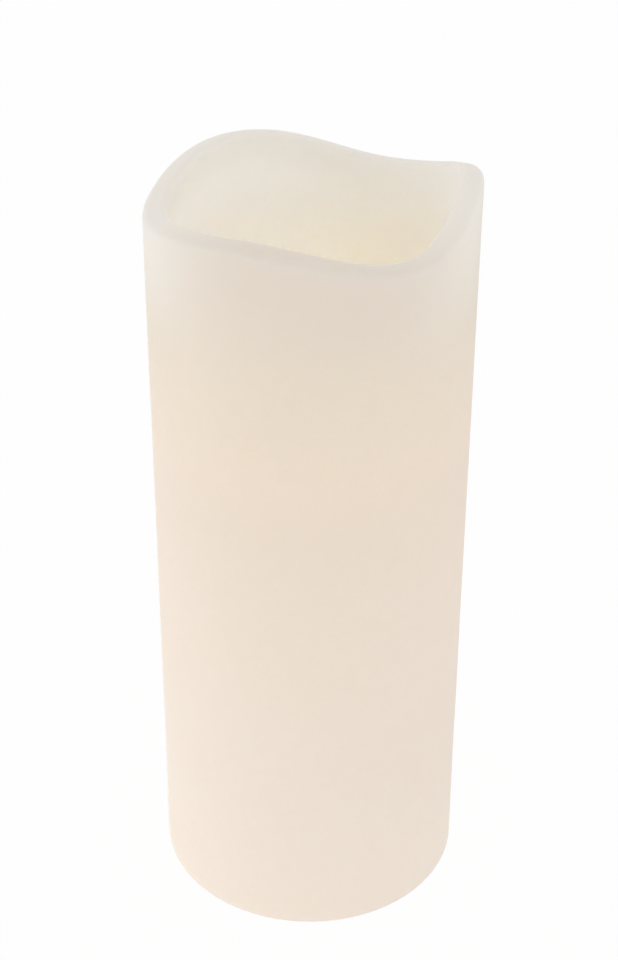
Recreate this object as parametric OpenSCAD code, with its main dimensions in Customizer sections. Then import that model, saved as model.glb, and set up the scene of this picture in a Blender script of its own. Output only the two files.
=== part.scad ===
// Flameless pillar candle: a cast wax shell with a melted rim, over a plastic battery core.
// Sizes are in millimetres, +Z is up, the origin is the centre of the foot and -Y is the front.

/* [Wax shell] */
// Outside diameter of the candle
candle_d = 75; // [72:0.5:90]
// Mean height of the melted rim above the table
rim_h = 183; // [165:1:230]
// Wax wall at the rim
rim_wall = 5.4; // [4.6:0.1:6.4]
// Rounding of the rim's outer edge
lip_out_r = 1; // [0.6:0.1:1.6]
// Rounding of the rim's inner edge
lip_in_r = 1.2; // [0.6:0.1:1.6]
// How far the lip falls from its inner to its outer edge
lip_fall = 0.8; // [0:0.1:1.4]
// Height of the rim's one-lobed wave
wave_1 = 0.7; // [0:0.05:2]
// Angle of the one-lobed wave's crest
wave_1_at = 329; // [0:1:359]
// Height of the rim's two-lobed wave
wave_2 = 0.85; // [0:0.05:2]
// Phase of the two-lobed wave
wave_2_at = 352; // [0:1:359]
// Height of the rim's three-lobed wave, which gives the melted look
wave_3 = 3.4; // [1:0.05:4]
// Phase of the three-lobed wave
wave_3_at = 7; // [0:1:359]
// Height of the rim's four-lobed wave
wave_4 = 0.65; // [0:0.05:1]
// Phase of the four-lobed wave
wave_4_at = 3; // [0:1:359]
// Height of the rim's five-lobed wave
wave_5 = 0.35; // [0:0.05:0.6]
// Phase of the five-lobed wave
wave_5_at = 305; // [0:1:359]
// Height of the rim's six-lobed wave
wave_6 = 0.1; // [0:0.05:0.4]
// Phase of the six-lobed wave
wave_6_at = 272; // [0:1:359]
// Height of the rim's seven-lobed wave
wave_7 = 0.15; // [0:0.05:0.4]
// Phase of the seven-lobed wave
wave_7_at = 290; // [0:1:359]
// Height of the recess floor, where the light stands
recess_floor_h = 126; // [112:1:140]
// How much narrower the recess is at its floor than at the rim, on the radius
recess_draft = 1.6; // [0.4:0.1:2.4]
// Fillet between the recess wall and floor
recess_fillet = 7; // [3:0.5:12]
// Thickness of the wax floor
floor_t = 6; // [5:0.25:8]
// Wax wall around the hollow under the floor
lower_wall = 6.5; // [5.6:0.1:7]
// Fillet at the top of the lower hollow
hollow_fillet = 4; // [1:0.5:8]
// Width of the wax ring that the candle stands on
foot_wall = 4; // [3:0.1:4.8]
// Rounding of the foot's outer edge
foot_round = 0.6; // [0.3:0.1:2.4]
// Gap between the wax and the core, where the wax is cut away for it
core_gap = 0.5; // [0.3:0.05:0.8]

/* [Base plate] */
// How far the plastic base is set up from the table
base_inset = 1.6; // [1.2:0.1:2.4]
// Thickness of the base plate
plate_t = 2.4; // [2:0.1:3.2]
// Radial gap between the base plate and its rebate
plate_gap = 0.3; // [0.2:0.05:0.5]
// Number of crush ribs that grip the wax
crush_ribs = 12; // [6:1:18]
// Radius of a crush rib
crush_rib_r = 0.6; // [0.5:0.05:0.8]
// How far a crush rib bites into the wax
crush_bite = 0.05; // [0.02:0.01:0.1]
// Wall of the collar that guides the lid
collar_wall = 1.8; // [1.4:0.1:2.4]
// Thickness of the stiffening ribs inside the base
rib_t = 1.2; // [0.8:0.1:1.6]
// Height of the stiffening ribs inside the base
rib_h = 2; // [1:0.1:3]

/* [Twist lid] */
// Thickness of the lid's flange
lid_flange_t = 1.8; // [1.4:0.1:2.4]
// How far the flange reaches past the spigot
lid_flange_w = 3; // [2.6:0.1:3.6]
// Radial and axial gap around the lid
lid_gap = 0.3; // [0.2:0.05:0.4]
// Thickness of the ledge that holds the lid's lugs
ledge_t = 2; // [1.6:0.1:2.6]
// Number of bayonet lugs
lugs = 3; // [2:1:3]
// Angle that one lug spans
lug_angle = 28; // [20:1:30]
// Thickness of a lug
lug_t = 1.8; // [1.4:0.1:2.2]
// How far a lug stands out of the spigot
lug_w = 2; // [1.6:0.1:2.4]
// Angle that the lid turns from locked to free
twist_angle = 36; // [32:1:44]
// Spare angle on each side of a lug in its notch
notch_spare = 3; // [2:0.5:4]
// Angle that a stop block spans
stop_angle = 5; // [3:0.5:6]
// Wall of the lid's spigot and its tray
spigot_wall = 1.6; // [1.2:0.1:2]
// Depth of the tray for the bridge contact
tray_depth = 1.6; // [1.2:0.1:2]
// Depth of the two finger pockets
grip_depth = 3; // [2:0.1:3.2]
// Width of the grip bar between the pockets
grip_bar = 6; // [4:0.5:9]
// Chamfer round the lid's edge
lid_chamfer = 0.5; // [0.2:0.1:0.8]
// Gap between the lid and the battery barrel
barrel_gap = 0.5; // [0.3:0.05:1]

/* [Cells and contacts] */
// Diameter of one AA cell
cell_d = 14.5; // [14:0.1:14.5]
// Length of one AA cell with its cap
cell_l = 50.5; // [49.5:0.1:50.5]
// Diameter of the cell's positive cap
cap_d = 5.5; // [4.5:0.1:5.5]
// Height of the cell's positive cap
cap_h = 1.4; // [1:0.1:1.6]
// Radial gap between a cell and its well
cell_gap = 0.35; // [0.25:0.05:0.5]
// Thickness of the contact sheet
sheet_t = 0.4; // [0.3:0.05:0.5]
// Width of a contact plate
contact_w = 9; // [8:0.1:10]
// Width of a contact's solder tab
tab_w = 3; // [2:0.1:4]
// Gap left between a contact and a cell
touch_gap = 0.1; // [0.05:0.05:0.2]
// Length of a loaded contact spring
spring_l = 4; // [3.6:0.1:5]
// Wire diameter of the contact springs
spring_wire = 0.5; // [0.4:0.05:0.6]
// Radius of a spring at its plate
spring_r = 4; // [3.4:0.1:4.4]
// Radius of a spring at its cell
spring_tip_r = 2.2; // [1.8:0.1:2.4]
// Turns of a contact spring
spring_turns = 3; // [2:0.25:3.25]

/* [Battery core] */
// Wall around a cell well
barrel_wall = 1.4; // [1.2:0.1:2]
// Wall between the two wells
well_web = 1.2; // [1:0.1:2]
// Thickness of the barrel's top and foot flange
barrel_plate = 1.6; // [1.4:0.1:2.2]
// Wall of the core cap
core_cap_wall = 1.4; // [1.2:0.1:2]
// Height of the core cap
core_cap_h = 10.5; // [10:0.1:16]
// Height of the posts under the control board
board_post_h = 3; // [2.4:0.1:4]
// Thickness of the control board
board_t = 1; // [0.8:0.1:1.6]
// Length of the control board
board_l = 28; // [26:0.5:29]
// Width of the control board
board_w = 6.8; // [6:0.1:7]
// Gap left around soldered tabs and board parts
board_gap = 0.15; // [0.1:0.05:0.2]

/* [Light] */
// Outside diameter of the stem that carries the light
stem_d = 10; // [9:0.1:12]
// Wall of the stem
stem_wall = 1.2; // [1:0.1:1.5]
// Depth of the stem's socket on the core cap
stem_socket = 8; // [6:0.5:12]
// Wall of the socket
socket_wall = 1.8; // [1.4:0.1:2.4]
// Gap in push fits
push_gap = 0.05; // [0.03:0.01:0.1]
// Diameter of the light holder where it passes through the wax floor
holder_d = 11.6; // [11:0.1:14]
// Radial gap between the holder and the wax
holder_gap = 0.2; // [0.15:0.05:0.5]
// How far the holder stands above the recess floor
holder_rise = 1; // [0.5:0.1:3]
// Diameter of the holder's flange under the wax floor
holder_flange_d = 18; // [16:0.5:24]
// Thickness of the holder's flange
holder_flange_t = 1.6; // [1.2:0.1:2.4]
// Diameter of the LED
led_d = 5; // [4.8:0.1:5]
// Diameter of the LED's rim
led_rim_d = 5.8; // [5.6:0.1:6]
// Thickness of the LED's rim
led_rim_t = 1; // [0.8:0.1:1.2]
// Length of the LED's epoxy body
led_l = 8.6; // [8:0.1:9]
// How deep the LED's rim sits below the holder's top
led_depth = 5; // [4:0.1:5.4]
// Distance between the LED's leads
lead_pitch = 2.54; // [2.4:0.02:2.6]
// Side of a square LED lead
lead_side = 0.5; // [0.4:0.05:0.6]
// Length of the LED's leads
lead_l = 12; // [10:0.5:16]
// Diameter of an insulated wire
wire_d = 1.2; // [1:0.1:1.3]
// Length of a heat-shrink sleeve
sleeve_l = 10; // [8:0.5:14]
// Wall of a heat-shrink sleeve
sleeve_wall = 0.25; // [0.2:0.05:0.3]

/* [Switch] */
// Length of the switch's steel frame, over its ears
switch_l = 16; // [15.6:0.1:16.6]
// Width of the switch's steel frame
switch_w = 4.6; // [4.4:0.1:5]
// Distance between the frame's two screw holes
switch_pitch = 12.4; // [12.2:0.1:12.8]
// Length of the switch's can
can_l = 8.6; // [8.4:0.1:8.8]
// Height of the switch's can
can_h = 4.6; // [4:0.1:6]
// Thickness of the frame's steel
frame_t = 0.5; // [0.4:0.05:0.6]
// Height of the bosses under the switch's ears
switch_boss_h = 1.2; // [0.8:0.1:2]
// Length of the knob along its travel
knob_l = 2.6; // [2:0.1:2.8]
// Width of the knob
knob_w = 2; // [1.6:0.1:2.2]
// How far the knob stands out of the base plate
knob_out = 1.1; // [0.6:0.1:1.1]
// Travel of the knob
knob_travel = 2.5; // [2:0.1:2.6]
// Gap around the knob and its slider
knob_gap = 0.3; // [0.2:0.05:0.4]
// Depth of the finger scoop round the knob
scoop_depth = 0.9; // [0.5:0.1:1.1]
// Radius of the finger scoop
scoop_r = 14; // [10:0.5:20]
// Width of the finger scoop
scoop_w = 7; // [5:0.1:8]
// Height of the terminals above the switch's block
terminal_l = 3.2; // [2.4:0.1:4]

/* [Screws] */
// Radius of the base and cap screws' shank
screw_r = 1.2; // [1:0.05:1.3]
// Radius of the base and cap screws' head
screw_head_r = 2.3; // [2:0.05:2.4]
// Height of the base and cap screws' head
screw_head_h = 1.5; // [1.2:0.1:2]
// Length of the base and cap screws' shank
screw_l = 6; // [5:0.1:6]
// Radius of the switch screws' shank
small_screw_r = 0.8; // [0.6:0.05:0.9]
// Radius of the switch screws' head
small_head_r = 1.5; // [1.3:0.05:1.6]
// Length of the switch screws' shank
small_screw_l = 2.4; // [2:0.1:2.6]
// Gap between a shank and its pilot hole
pilot_gap = 0.03; // [0.02:0.01:0.05]
// Gap between a shank and a clearance hole
clear_gap = 0.3; // [0.2:0.05:0.4]

/* [Hidden] */
$fn = 64;
// Small overlap that makes cuts and unions clean
eps = 0.01;

// Radii of the wax shell
candle_r = candle_d / 2;
rebate_r = candle_r - foot_wall;
hollow_r = candle_r - lower_wall;
rim_in_r = candle_r - rim_wall;
recess_floor_r = rim_in_r - recess_draft;
holder_r = holder_d / 2;
holder_hole_r = holder_r + holder_gap;

// Heights of the wax shell; the blank is the casting before its rim is cut
hollow_top = recess_floor_h - floor_t;
waves = [wave_1, wave_2, wave_3, wave_4, wave_5, wave_6, wave_7];
waves_at = [wave_1_at, wave_2_at, wave_3_at, wave_4_at, wave_5_at, wave_6_at, wave_7_at];
blank_h = rim_h + sum(waves) + 1;

// Heights of the base and lid, from the table up
plate_z = base_inset;
plate_top = plate_z + plate_t;
flange_top = plate_z + lid_flange_t;
ledge_z = flange_top + lid_gap;
ledge_top = ledge_z + ledge_t;
lug_z = ledge_top + lid_gap;
lug_top = lug_z + lug_t;
spigot_top = lug_top + lid_gap;
tray_z = spigot_top - tray_depth;
bridge_top = tray_z + sheet_t;
collar_top = spigot_top + barrel_gap;
flange_plate_top = collar_top + barrel_plate;

// Radii of the base and lid, from the cells out
well_r = cell_d / 2 + cell_gap;
well_x = well_r + well_web / 2;
lobe_r = well_r + barrel_wall;
tray_r = well_x + well_r;
spigot_r = tray_r + spigot_wall;
ledge_r = spigot_r + lid_gap;
lug_r = spigot_r + lug_w;
groove_r = lug_r + lid_gap;
flange_r = spigot_r + lid_flange_w;
pocket_r = flange_r + lid_gap;
collar_r = max(pocket_r, groove_r) + collar_wall;
band_r = (collar_r + hollow_r) / 2;

// Angles of the bayonet, from the middle of a notch
notch_angle = lug_angle + 2 * notch_spare;
lock_stop_at = twist_angle + lug_angle / 2 + notch_spare / 2 + stop_angle / 2;
free_stop_at = -notch_angle / 2 - notch_spare / 2 - stop_angle / 2;

// Screw bosses
boss_wall = 1.6;
screw_boss_r = screw_r + boss_wall;
small_boss_wall = 1.2;
small_boss_r = small_screw_r + small_boss_wall;
small_pilot_floor = 0.8;
small_head_h = 1;
base_screw_angles = [90, 210, 330];
rib_angles = [0, 45, 135, 180, 240, 300];

// Pegs that hold the bridge contact on the lid
peg_r = 0.9;
peg_head_r = 1.6;
peg_head_h = 0.5;
peg_y = 2.2;
peg_gap = 0.1;

// Heights of the cells and contacts
right_z = bridge_top + touch_gap;
left_z = bridge_top + spring_l + touch_gap;
contact_z = left_z + cell_l + touch_gap;
barrel_top_z = contact_z + sheet_t;
barrel_top = barrel_top_z + barrel_plate;

// Room under the wells for the lid's spring, which swings round with the lid
swing_r = well_x + spring_r + spring_wire / 2 + lid_gap;
swing_top = left_z + lid_gap;

// Control board and the parts on it
board_z = barrel_top + board_post_h;
board_top = board_z + board_t;
board_post_x = 5;
board_post_r = 1.2;
tab_x = board_l / 2 - tab_w;
tab_top = board_top + sheet_t;
chip_x = -6.6;
chip_r = 2.4;
chip_h = 1.3;
resistor_l = 2;
resistor_w = 1.2;
resistor_h = 0.55;
resistor_x = 4.4;
resistor_y = 2;
capacitor_x = 7.4;
capacitor_r = 1.5;
capacitor_h = 4;

// Core cap
roof_z = barrel_top + core_cap_h;
roof_top = roof_z + core_cap_wall;
socket_top = roof_top + stem_socket;
cap_pillar_r = screw_head_r + clear_gap + core_cap_wall / 2;
cap_screw_y = board_w / 2 + clear_gap + cap_pillar_r;
cap_seat_z = barrel_top + barrel_plate;
waist_in = 0.5;

// Light
stem_r = stem_d / 2;
stem_bore = stem_r - stem_wall;
socket_r = stem_r + push_gap + socket_wall;
holder_flange_z = hollow_top - holder_flange_t;
holder_top = recess_floor_h + holder_rise;
holder_spigot_l = 5;
holder_chamfer = 1;
led_z = holder_top - led_depth;
led_r = led_d / 2;
led_rim_r = led_rim_d / 2;
lead_z = led_z - lead_l;
sleeve_in_r = wire_d / 2 + push_gap;
sleeve_z = lead_z - sleeve_l / 2;
wire_top = lead_z - touch_gap;
wire_bow = 0.7;

// Switch
switch_y = -band_r;
frame_z = plate_top + switch_boss_h;
can_top = frame_z + can_h;
block_t = 1;
block_top = can_top + block_t;
knob_tip = plate_z - knob_out;
slot_l = knob_l + knob_travel + 2 * knob_gap;
slot_w = knob_w + 2 * knob_gap;
slider_h = 1.6;
slider_l = can_l - 2 * frame_t - 2 * knob_gap - knob_travel;
slider_w = switch_w - 2 * frame_t - 2 * knob_gap;
slider_z = frame_z + frame_t + knob_gap;
terminal_pitch = 2.6;
terminal_t = 0.5;
terminal_w = 1.2;
terminal_tip = block_top + terminal_l;
knob_grooves = 3;
knob_groove_w = 0.3;
knob_groove_depth = 0.3;

// Switch wires: out of a terminal, up the front of the barrel and through a notch to the board.
// A wire keeps off the barrel, and its lengths are measured from the ends that it joins.
switch_wire_x = 5.4;
notch_h = wire_d + 2 * clear_gap;
notch_mid = barrel_top + notch_h / 2;
barrel_front = waist_in - lobe_r;
wire_straight = 2.5;
wire_lean = 6.5;
wire_lean_x = 3;
wire_climb = 15;
wire_climb_x = 4.4;
wire_climb_off = 8.5;
wire_drop = 13.6;
wire_drop_x = 5.2;
wire_drop_off = 3.9;
wire_hang = 7;
wire_hang_off = 2.5;
wire_turn = 2;
wire_turn_off = 1.9;
wire_notch_off = 0.3;
wire_inside = 2.1;
wire_inside_2 = 4.7;
wire_inside_x = 4;
wire_rise = 0.1;
wire_end_x = 2.6;
wire_end_y = -2.4;
wire_end = 0.8;
function switch_wire_route(side, terminal_x) = let (lean_z = terminal_tip + wire_straight + wire_lean) [
    [terminal_x, switch_y, terminal_tip],
    [terminal_x, switch_y, terminal_tip + wire_straight],
    [side * wire_lean_x, switch_y + wire_straight, lean_z],
    [side * wire_climb_x, barrel_front - wire_climb_off, lean_z + wire_climb],
    [side * wire_drop_x, barrel_front - wire_drop_off, barrel_top - wire_drop],
    [side * switch_wire_x, barrel_front - wire_hang_off, barrel_top - wire_hang],
    [side * switch_wire_x, barrel_front - wire_turn_off, barrel_top - wire_turn],
    [side * switch_wire_x, barrel_front - wire_notch_off, notch_mid],
    [side * wire_drop_x, barrel_front + wire_inside, notch_mid + wire_rise],
    [side * wire_inside_x, barrel_front + wire_inside_2, notch_mid + 2 * wire_rise],
    [side * wire_end_x, wire_end_y, board_z - wire_end],
    [side * wire_end_x, wire_end_y, board_z]
];

function sum(values, i = 0) = i < len(values) ? values[i] + sum(values, i + 1) : 0;

function rim_height(a) = rim_h + sum([for (i = [0 : 6]) waves[i] * cos((i + 1) * a - waves_at[i])]);

// Points of an arc about c from angle a0 to a1
function arc(c, r, a0, a1, steps) =
    [for (i = [0 : steps]) let (a = a0 + (a1 - a0) * i / steps) c + r * [cos(a), sin(a)]];

function unit(v) = v / norm(v);

// Point on a smooth curve through the route, at share t between points i and i + 1
function spline_point(route, i, t) = let (
    last = len(route) - 1,
    p0 = route[max(i - 1, 0)],
    p1 = route[i],
    p2 = route[min(i + 1, last)],
    p3 = route[min(i + 2, last)]
) 0.5 * (2 * p1 + (p2 - p0) * t + (2 * p0 - 5 * p1 + 4 * p2 - p3) * t * t
    + (3 * p1 - p0 - 3 * p2 + p3) * t * t * t);

function smooth_route(route, steps) = concat(
    [for (i = [0 : len(route) - 2], k = [0 : steps - 1]) spline_point(route, i, k / steps)],
    [route[len(route) - 1]]
);

// Smooth route whose first and last stretches stay straight
function held_route(route, steps) = let (last = len(route) - 1) concat(
    [route[0]],
    smooth_route([for (i = [1 : last - 1]) route[i]], steps),
    [route[last]]
);

function tangent(path, i) = unit(path[min(i + 1, len(path) - 1)] - path[max(i - 1, 0)]);

// Ring of points round path point i; side says which way the ring's first point lies
function ring(path, i, side, r, sides) = let (
    t = tangent(path, i),
    u = unit(side - (side * t) * t),
    v = cross(t, u)
) [for (k = [0 : sides - 1]) path[i] + r * (cos(360 * k / sides) * u + sin(360 * k / sides) * v)];

// Path of a contact spring that stands on z 0: a leg, a cone of turns and a leg
turn_rings = 12;
spring_rings = ceil(spring_turns * turn_rings);
spring_end_a = 360 * spring_turns;
coil_z = 1.5 * spring_wire;
function coil_point(share) = let (
    a = spring_end_a * share,
    r = spring_r + (spring_tip_r - spring_r) * share
) [r * cos(a), r * sin(a), coil_z + (spring_l - 2 * coil_z) * share];
spring_path = concat(
    [[spring_r, 0, 0], [spring_r, 0, spring_wire]],
    [for (i = [0 : spring_rings]) coil_point(i / spring_rings)],
    [for (z = [spring_l - spring_wire, spring_l])
        [spring_tip_r * cos(spring_end_a), spring_tip_r * sin(spring_end_a), z]]
);

// Least gap between two turns of a spring
spring_last = len(spring_path) - 1;
spring_gap = min([for (i = [0 : spring_last], k = [i + turn_rings / 2 : 1 : spring_last])
    norm(spring_path[i] - spring_path[k])]) - spring_wire;
echo(spring_gap = spring_gap);

// Round tube along a path, with one side vector for each of its points
module tube(path, side_vectors, r, sides) {
    rings = len(path);
    points = [for (i = [0 : rings - 1]) each ring(path, i, side_vectors[i], r, sides)];
    walls = [for (i = [0 : rings - 2], k = [0 : sides - 1]) let (
        a = i * sides + k,
        b = i * sides + (k + 1) % sides
    ) each [[a, a + sides, b], [b, a + sides, b + sides]]];
    start_cap = [for (k = [1 : sides - 2]) [0, k, k + 1]];
    end_cap = [for (k = [1 : sides - 2]) (rings - 1) * sides * [1, 1, 1] + [0, k + 1, k]];
    polyhedron(points, concat(walls, start_cap, end_cap), convexity = 6);
}

// A block of a ring, centred on angle 0
module ring_block(r_in, r_out, span, z0, z1) {
    rotate([0, 0, -span / 2]) rotate_extrude(angle = span)
        translate([r_in, z0]) square([r_out - r_in, z1 - z0]);
}

// A cylinder from one height to another
module post(r, z0, z1) {
    translate([0, 0, z0]) cylinder(r = r, h = z1 - z0);
}

module at_lugs(turn) {
    for (i = [0 : lugs - 1]) rotate([0, 0, 360 * i / lugs + turn]) children();
}

module at_base_screws() {
    for (a = base_screw_angles) rotate([0, 0, a]) translate([band_r, 0, 0]) children();
}

module at_switch_screws() {
    for (s = [-1, 1]) translate([s * switch_pitch / 2, switch_y, 0]) children();
}

module at_cap_screws() {
    for (s = [-1, 1]) translate([0, s * cap_screw_y, 0]) children();
}

module at_wells() {
    for (s = [-1, 1]) translate([s * well_x, 0, 0]) children();
}

module at_leads() {
    for (s = [-1, 1]) translate([s * lead_pitch / 2, 0, 0]) children();
}

// Wax shell: one casting, with a recess above its floor and a hollow for the core below
module wax_profile() {
    foot = arc([candle_r - foot_round, foot_round], foot_round, -90, 0, 8);
    bowl_at = [recess_floor_r - recess_fillet, recess_floor_h + recess_fillet];
    bowl = arc(bowl_at, recess_fillet, 0, -90, 8);
    dome = arc([hollow_r - hollow_fillet, hollow_top - hollow_fillet], hollow_fillet, 90, 0, 8);
    mouth_r = rim_in_r + recess_draft * (blank_h - rim_h) / (rim_h - recess_floor_h);
    polygon(concat(
        [[rebate_r, 0]],
        foot,
        [[candle_r, blank_h], [mouth_r, blank_h]],
        bowl,
        [[holder_hole_r, recess_floor_h], [holder_hole_r, hollow_top]],
        dome,
        [[hollow_r, plate_top], [rebate_r, plate_top]]
    ));
}

// How far the side of the air over the rim runs down before it clears the wall
function skirt_drop(r, out, angle) = (out + r * (1 - cos(angle))) / tan(angle);

// The air over the melted rim: a ring whose underside is a channel that rises and falls. The lip it
// leaves has two rounded edges and falls a little to the outside.
module rim_air() {
    steps = 90;
    shoulder_angle = 16;
    skirt_out = 0.3;
    air_side = 3;
    over = blank_h + 2;
    top_angle = 90 - atan(lip_fall / (rim_wall - lip_out_r - lip_in_r));
    in_at = [rim_in_r + lip_in_r, -lip_in_r];
    out_x = candle_r - lip_out_r;
    out_up = ((in_at[0] - out_x) * cos(top_angle) + lip_in_r - lip_out_r) / sin(top_angle);
    out_at = [out_x, in_at[1] + out_up];
    out_low = out_at[1] + lip_out_r * sin(shoulder_angle) - skirt_drop(lip_out_r, skirt_out, shoulder_angle);
    in_low = in_at[1] + lip_in_r * sin(shoulder_angle) - skirt_drop(lip_in_r, skirt_out, shoulder_angle);
    underside = concat(
        [[candle_r + air_side, out_low], [candle_r + skirt_out, out_low]],
        arc(out_at, lip_out_r, shoulder_angle, top_angle, 5),
        arc(in_at, lip_in_r, top_angle, 180 - shoulder_angle, 6),
        [[rim_in_r - skirt_out, in_low], [rim_in_r - air_side, in_low]]
    );
    section = len(underside) + 2;
    points = [for (i = [0 : steps - 1]) let (a = 360 * i / steps, h = rim_height(a)) each concat(
        [for (p = underside) [p[0] * cos(a), p[0] * sin(a), h + p[1]]],
        [for (r = [rim_in_r - air_side, candle_r + air_side]) [r * cos(a), r * sin(a), over]]
    )];
    faces = [for (i = [0 : steps - 1], k = [0 : section - 1]) let (
        a = i * section + k,
        b = i * section + (k + 1) % section,
        c = ((i + 1) % steps) * section + k,
        d = ((i + 1) % steps) * section + (k + 1) % section
    ) each [[a, c, b], [b, c, d]]];
    polyhedron(points, faces, convexity = 8);
}

// Room for the switch and the screw bosses, which reaches into the wax where the candle is slim
module core_room() {
    translate([-switch_l / 2 - core_gap, switch_y - switch_w / 2 - core_gap, plate_top - eps])
        cube([switch_l + 2 * core_gap, switch_w + 2 * core_gap, block_top + core_gap - plate_top]);
    at_base_screws() post(screw_boss_r + core_gap, plate_top - eps, flange_plate_top + core_gap);
}

module wax_shell() color("ivory") difference() {
    rotate_extrude() wax_profile();
    rim_air();
    core_room();
}

// Base plate: closes the foot, guides the lid and carries the switch
module base_plate() color("linen") {
    difference() {
        union() {
            post(rebate_r - plate_gap, plate_z, plate_top);
            post(collar_r, plate_z, collar_top);
            at_base_screws() post(screw_boss_r, plate_z, collar_top);
            at_switch_screws() post(small_boss_r, plate_z, frame_z);
            for (a = rib_angles) rotate([0, 0, a])
                translate([collar_r - collar_wall / 2, -rib_t / 2, plate_z])
                cube([hollow_r - plate_gap - collar_r + collar_wall / 2, rib_t, plate_t + rib_h]);
            for (i = [0 : crush_ribs - 1]) rotate([0, 0, 360 * (i + 0.5) / crush_ribs])
                translate([rebate_r + crush_bite - crush_rib_r, 0, 0])
                post(crush_rib_r, plate_z, plate_top);
        }
        post(pocket_r, plate_z - eps, ledge_z);
        post(ledge_r, plate_z, collar_top + eps);
        post(groove_r, ledge_top, collar_top + eps);
        at_lugs(-twist_angle) ring_block(spigot_r, groove_r, notch_angle, ledge_z - eps, ledge_top + eps);
        at_base_screws() post(screw_r + pilot_gap, flange_plate_top - screw_l - eps, collar_top + eps);
        at_switch_screws() post(small_screw_r + pilot_gap, plate_z + small_pilot_floor, frame_z + eps);
        translate([-slot_l / 2, switch_y - slot_w / 2, plate_z - eps])
            cube([slot_l, slot_w, plate_t + 2 * eps]);
        translate([0, switch_y, plate_z + scoop_depth - scoop_r]) rotate([90, 0, 0])
            cylinder(r = scoop_r, h = scoop_w, center = true);
    }
    at_lugs(-twist_angle) for (at = [lock_stop_at, free_stop_at]) rotate([0, 0, at])
        ring_block(ledge_r + eps, groove_r + eps, stop_angle, ledge_top - eps, lug_top);
}

// Self-tapping screw, seated at z 0 with its head up
module screw(r, head_r, head_h, length) {
    crown_share = 0.8;
    difference() {
        union() {
            translate([0, 0, -length]) cylinder(r1 = r / 2, r2 = r, h = r);
            post(r, r - length, eps);
            cylinder(r1 = head_r, r2 = head_r * crown_share, h = head_h);
        }
        for (a = [0, 90]) rotate([0, 0, a]) translate([0, 0, head_h])
            cube([head_r, r / 2, head_h], center = true);
    }
}

module base_screws() color("silver") at_base_screws() translate([0, 0, flange_plate_top])
    screw(screw_r, screw_head_r, screw_head_h, screw_l - pilot_gap);

// Twist lid: turns a little way and drops out, to change the cells
module battery_lid() color("linen") {
    grip_r = spigot_r - spigot_wall;
    difference() {
        union() {
            translate([0, 0, plate_z])
                cylinder(r1 = flange_r - lid_chamfer, r2 = flange_r, h = lid_chamfer);
            post(flange_r, plate_z + lid_chamfer, flange_top);
            post(spigot_r, plate_z + lid_chamfer, spigot_top);
            at_lugs(0) ring_block(tray_r + eps, lug_r, lug_angle, lug_z, lug_top);
        }
        post(tray_r, tray_z, spigot_top + eps);
        for (s = [-1, 1]) intersection() {
            post(grip_r, plate_z - eps, plate_z + grip_depth);
            translate([-grip_r, s > 0 ? grip_bar / 2 : -grip_bar / 2 - grip_r, plate_z - 1])
                cube([2 * grip_r, grip_r, grip_depth + 1 + eps]);
        }
    }
    for (s = [-1, 1]) translate([0, s * peg_y, 0]) {
        post(peg_r, tray_z - eps, bridge_top + peg_head_h);
        translate([0, 0, bridge_top]) cylinder(r1 = peg_head_r, r2 = peg_r / 2, h = peg_head_h);
    }
}

// Bridge contact: joins the two cells at the lid
module lid_bridge_contact() color("lightsteelblue") difference() {
    union() {
        at_wells() post(contact_w / 2, tray_z, bridge_top);
        translate([-well_x, -contact_w / 2 + waist_in, tray_z])
            cube([2 * well_x, contact_w - 2 * waist_in, sheet_t]);
    }
    for (s = [-1, 1]) translate([0, s * peg_y, 0]) post(peg_r + peg_gap, tray_z - eps, bridge_top + eps);
}

module contact_spring() tube(spring_path, [for (p = spring_path) [p[0], p[1], 0]], spring_wire / 2, 6);

module lid_spring() color("silver") translate([-well_x, 0, bridge_top]) contact_spring();

// Battery barrel: two wells side by side on a flange with three ears
module barrel_outline(inset) {
    for (s = [-1, 1]) translate([s * well_x, 0]) circle(r = lobe_r - inset);
    square([2 * well_x, 2 * (lobe_r - inset - waist_in)], center = true);
}

module tab_slots(z0, z1) {
    for (s = [-1, 1]) translate([s * tab_x - sheet_t / 2 - board_gap, -tab_w / 2 - board_gap, z0])
        cube([sheet_t + 2 * board_gap, tab_w + 2 * board_gap, z1 - z0]);
}

module battery_barrel() color("whitesmoke") difference() {
    union() {
        translate([0, 0, collar_top]) linear_extrude(barrel_top - collar_top) barrel_outline(0);
        at_cap_screws() post(cap_pillar_r, barrel_top - screw_l, barrel_top);
        post(collar_r, collar_top, flange_plate_top);
        at_base_screws() post(screw_boss_r, collar_top, flange_plate_top);
        for (a = base_screw_angles) rotate([0, 0, a])
            translate([collar_r - collar_wall, -screw_r, collar_top])
            cube([band_r - screw_r - collar_r + collar_wall, 2 * screw_r, barrel_plate]);
        for (s = [-1, 1]) translate([s * board_post_x, 0, 0]) post(board_post_r, barrel_top - eps, board_z);
    }
    at_wells() post(well_r, collar_top - eps, barrel_top_z);
    post(swing_r, collar_top - eps, swing_top);
    at_base_screws() post(screw_r + clear_gap, collar_top - eps, flange_plate_top + eps);
    at_cap_screws() post(screw_r + pilot_gap, cap_seat_z - screw_l - eps, barrel_top + eps);
    tab_slots(barrel_top_z - eps, barrel_top + eps);
}

// AA cell, standing on its negative end at z 0
module cell() {
    shoulder = 0.8;
    can_r = cell_d / 2;
    can_end = cell_l - cap_h;
    rotate_extrude() polygon([
        [0, 0], [can_r - shoulder, 0], [can_r, shoulder], [can_r, can_end - shoulder],
        [can_r - shoulder, can_end], [cap_d / 2, can_end], [cap_d / 2, cell_l], [0, cell_l]
    ]);
}

module battery_left() color("darkslategray") translate([-well_x, 0, left_z]) cell();

module battery_right() color("darkslategray") translate([well_x, 0, right_z + cell_l])
    rotate([180, 0, 0]) cell();

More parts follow.
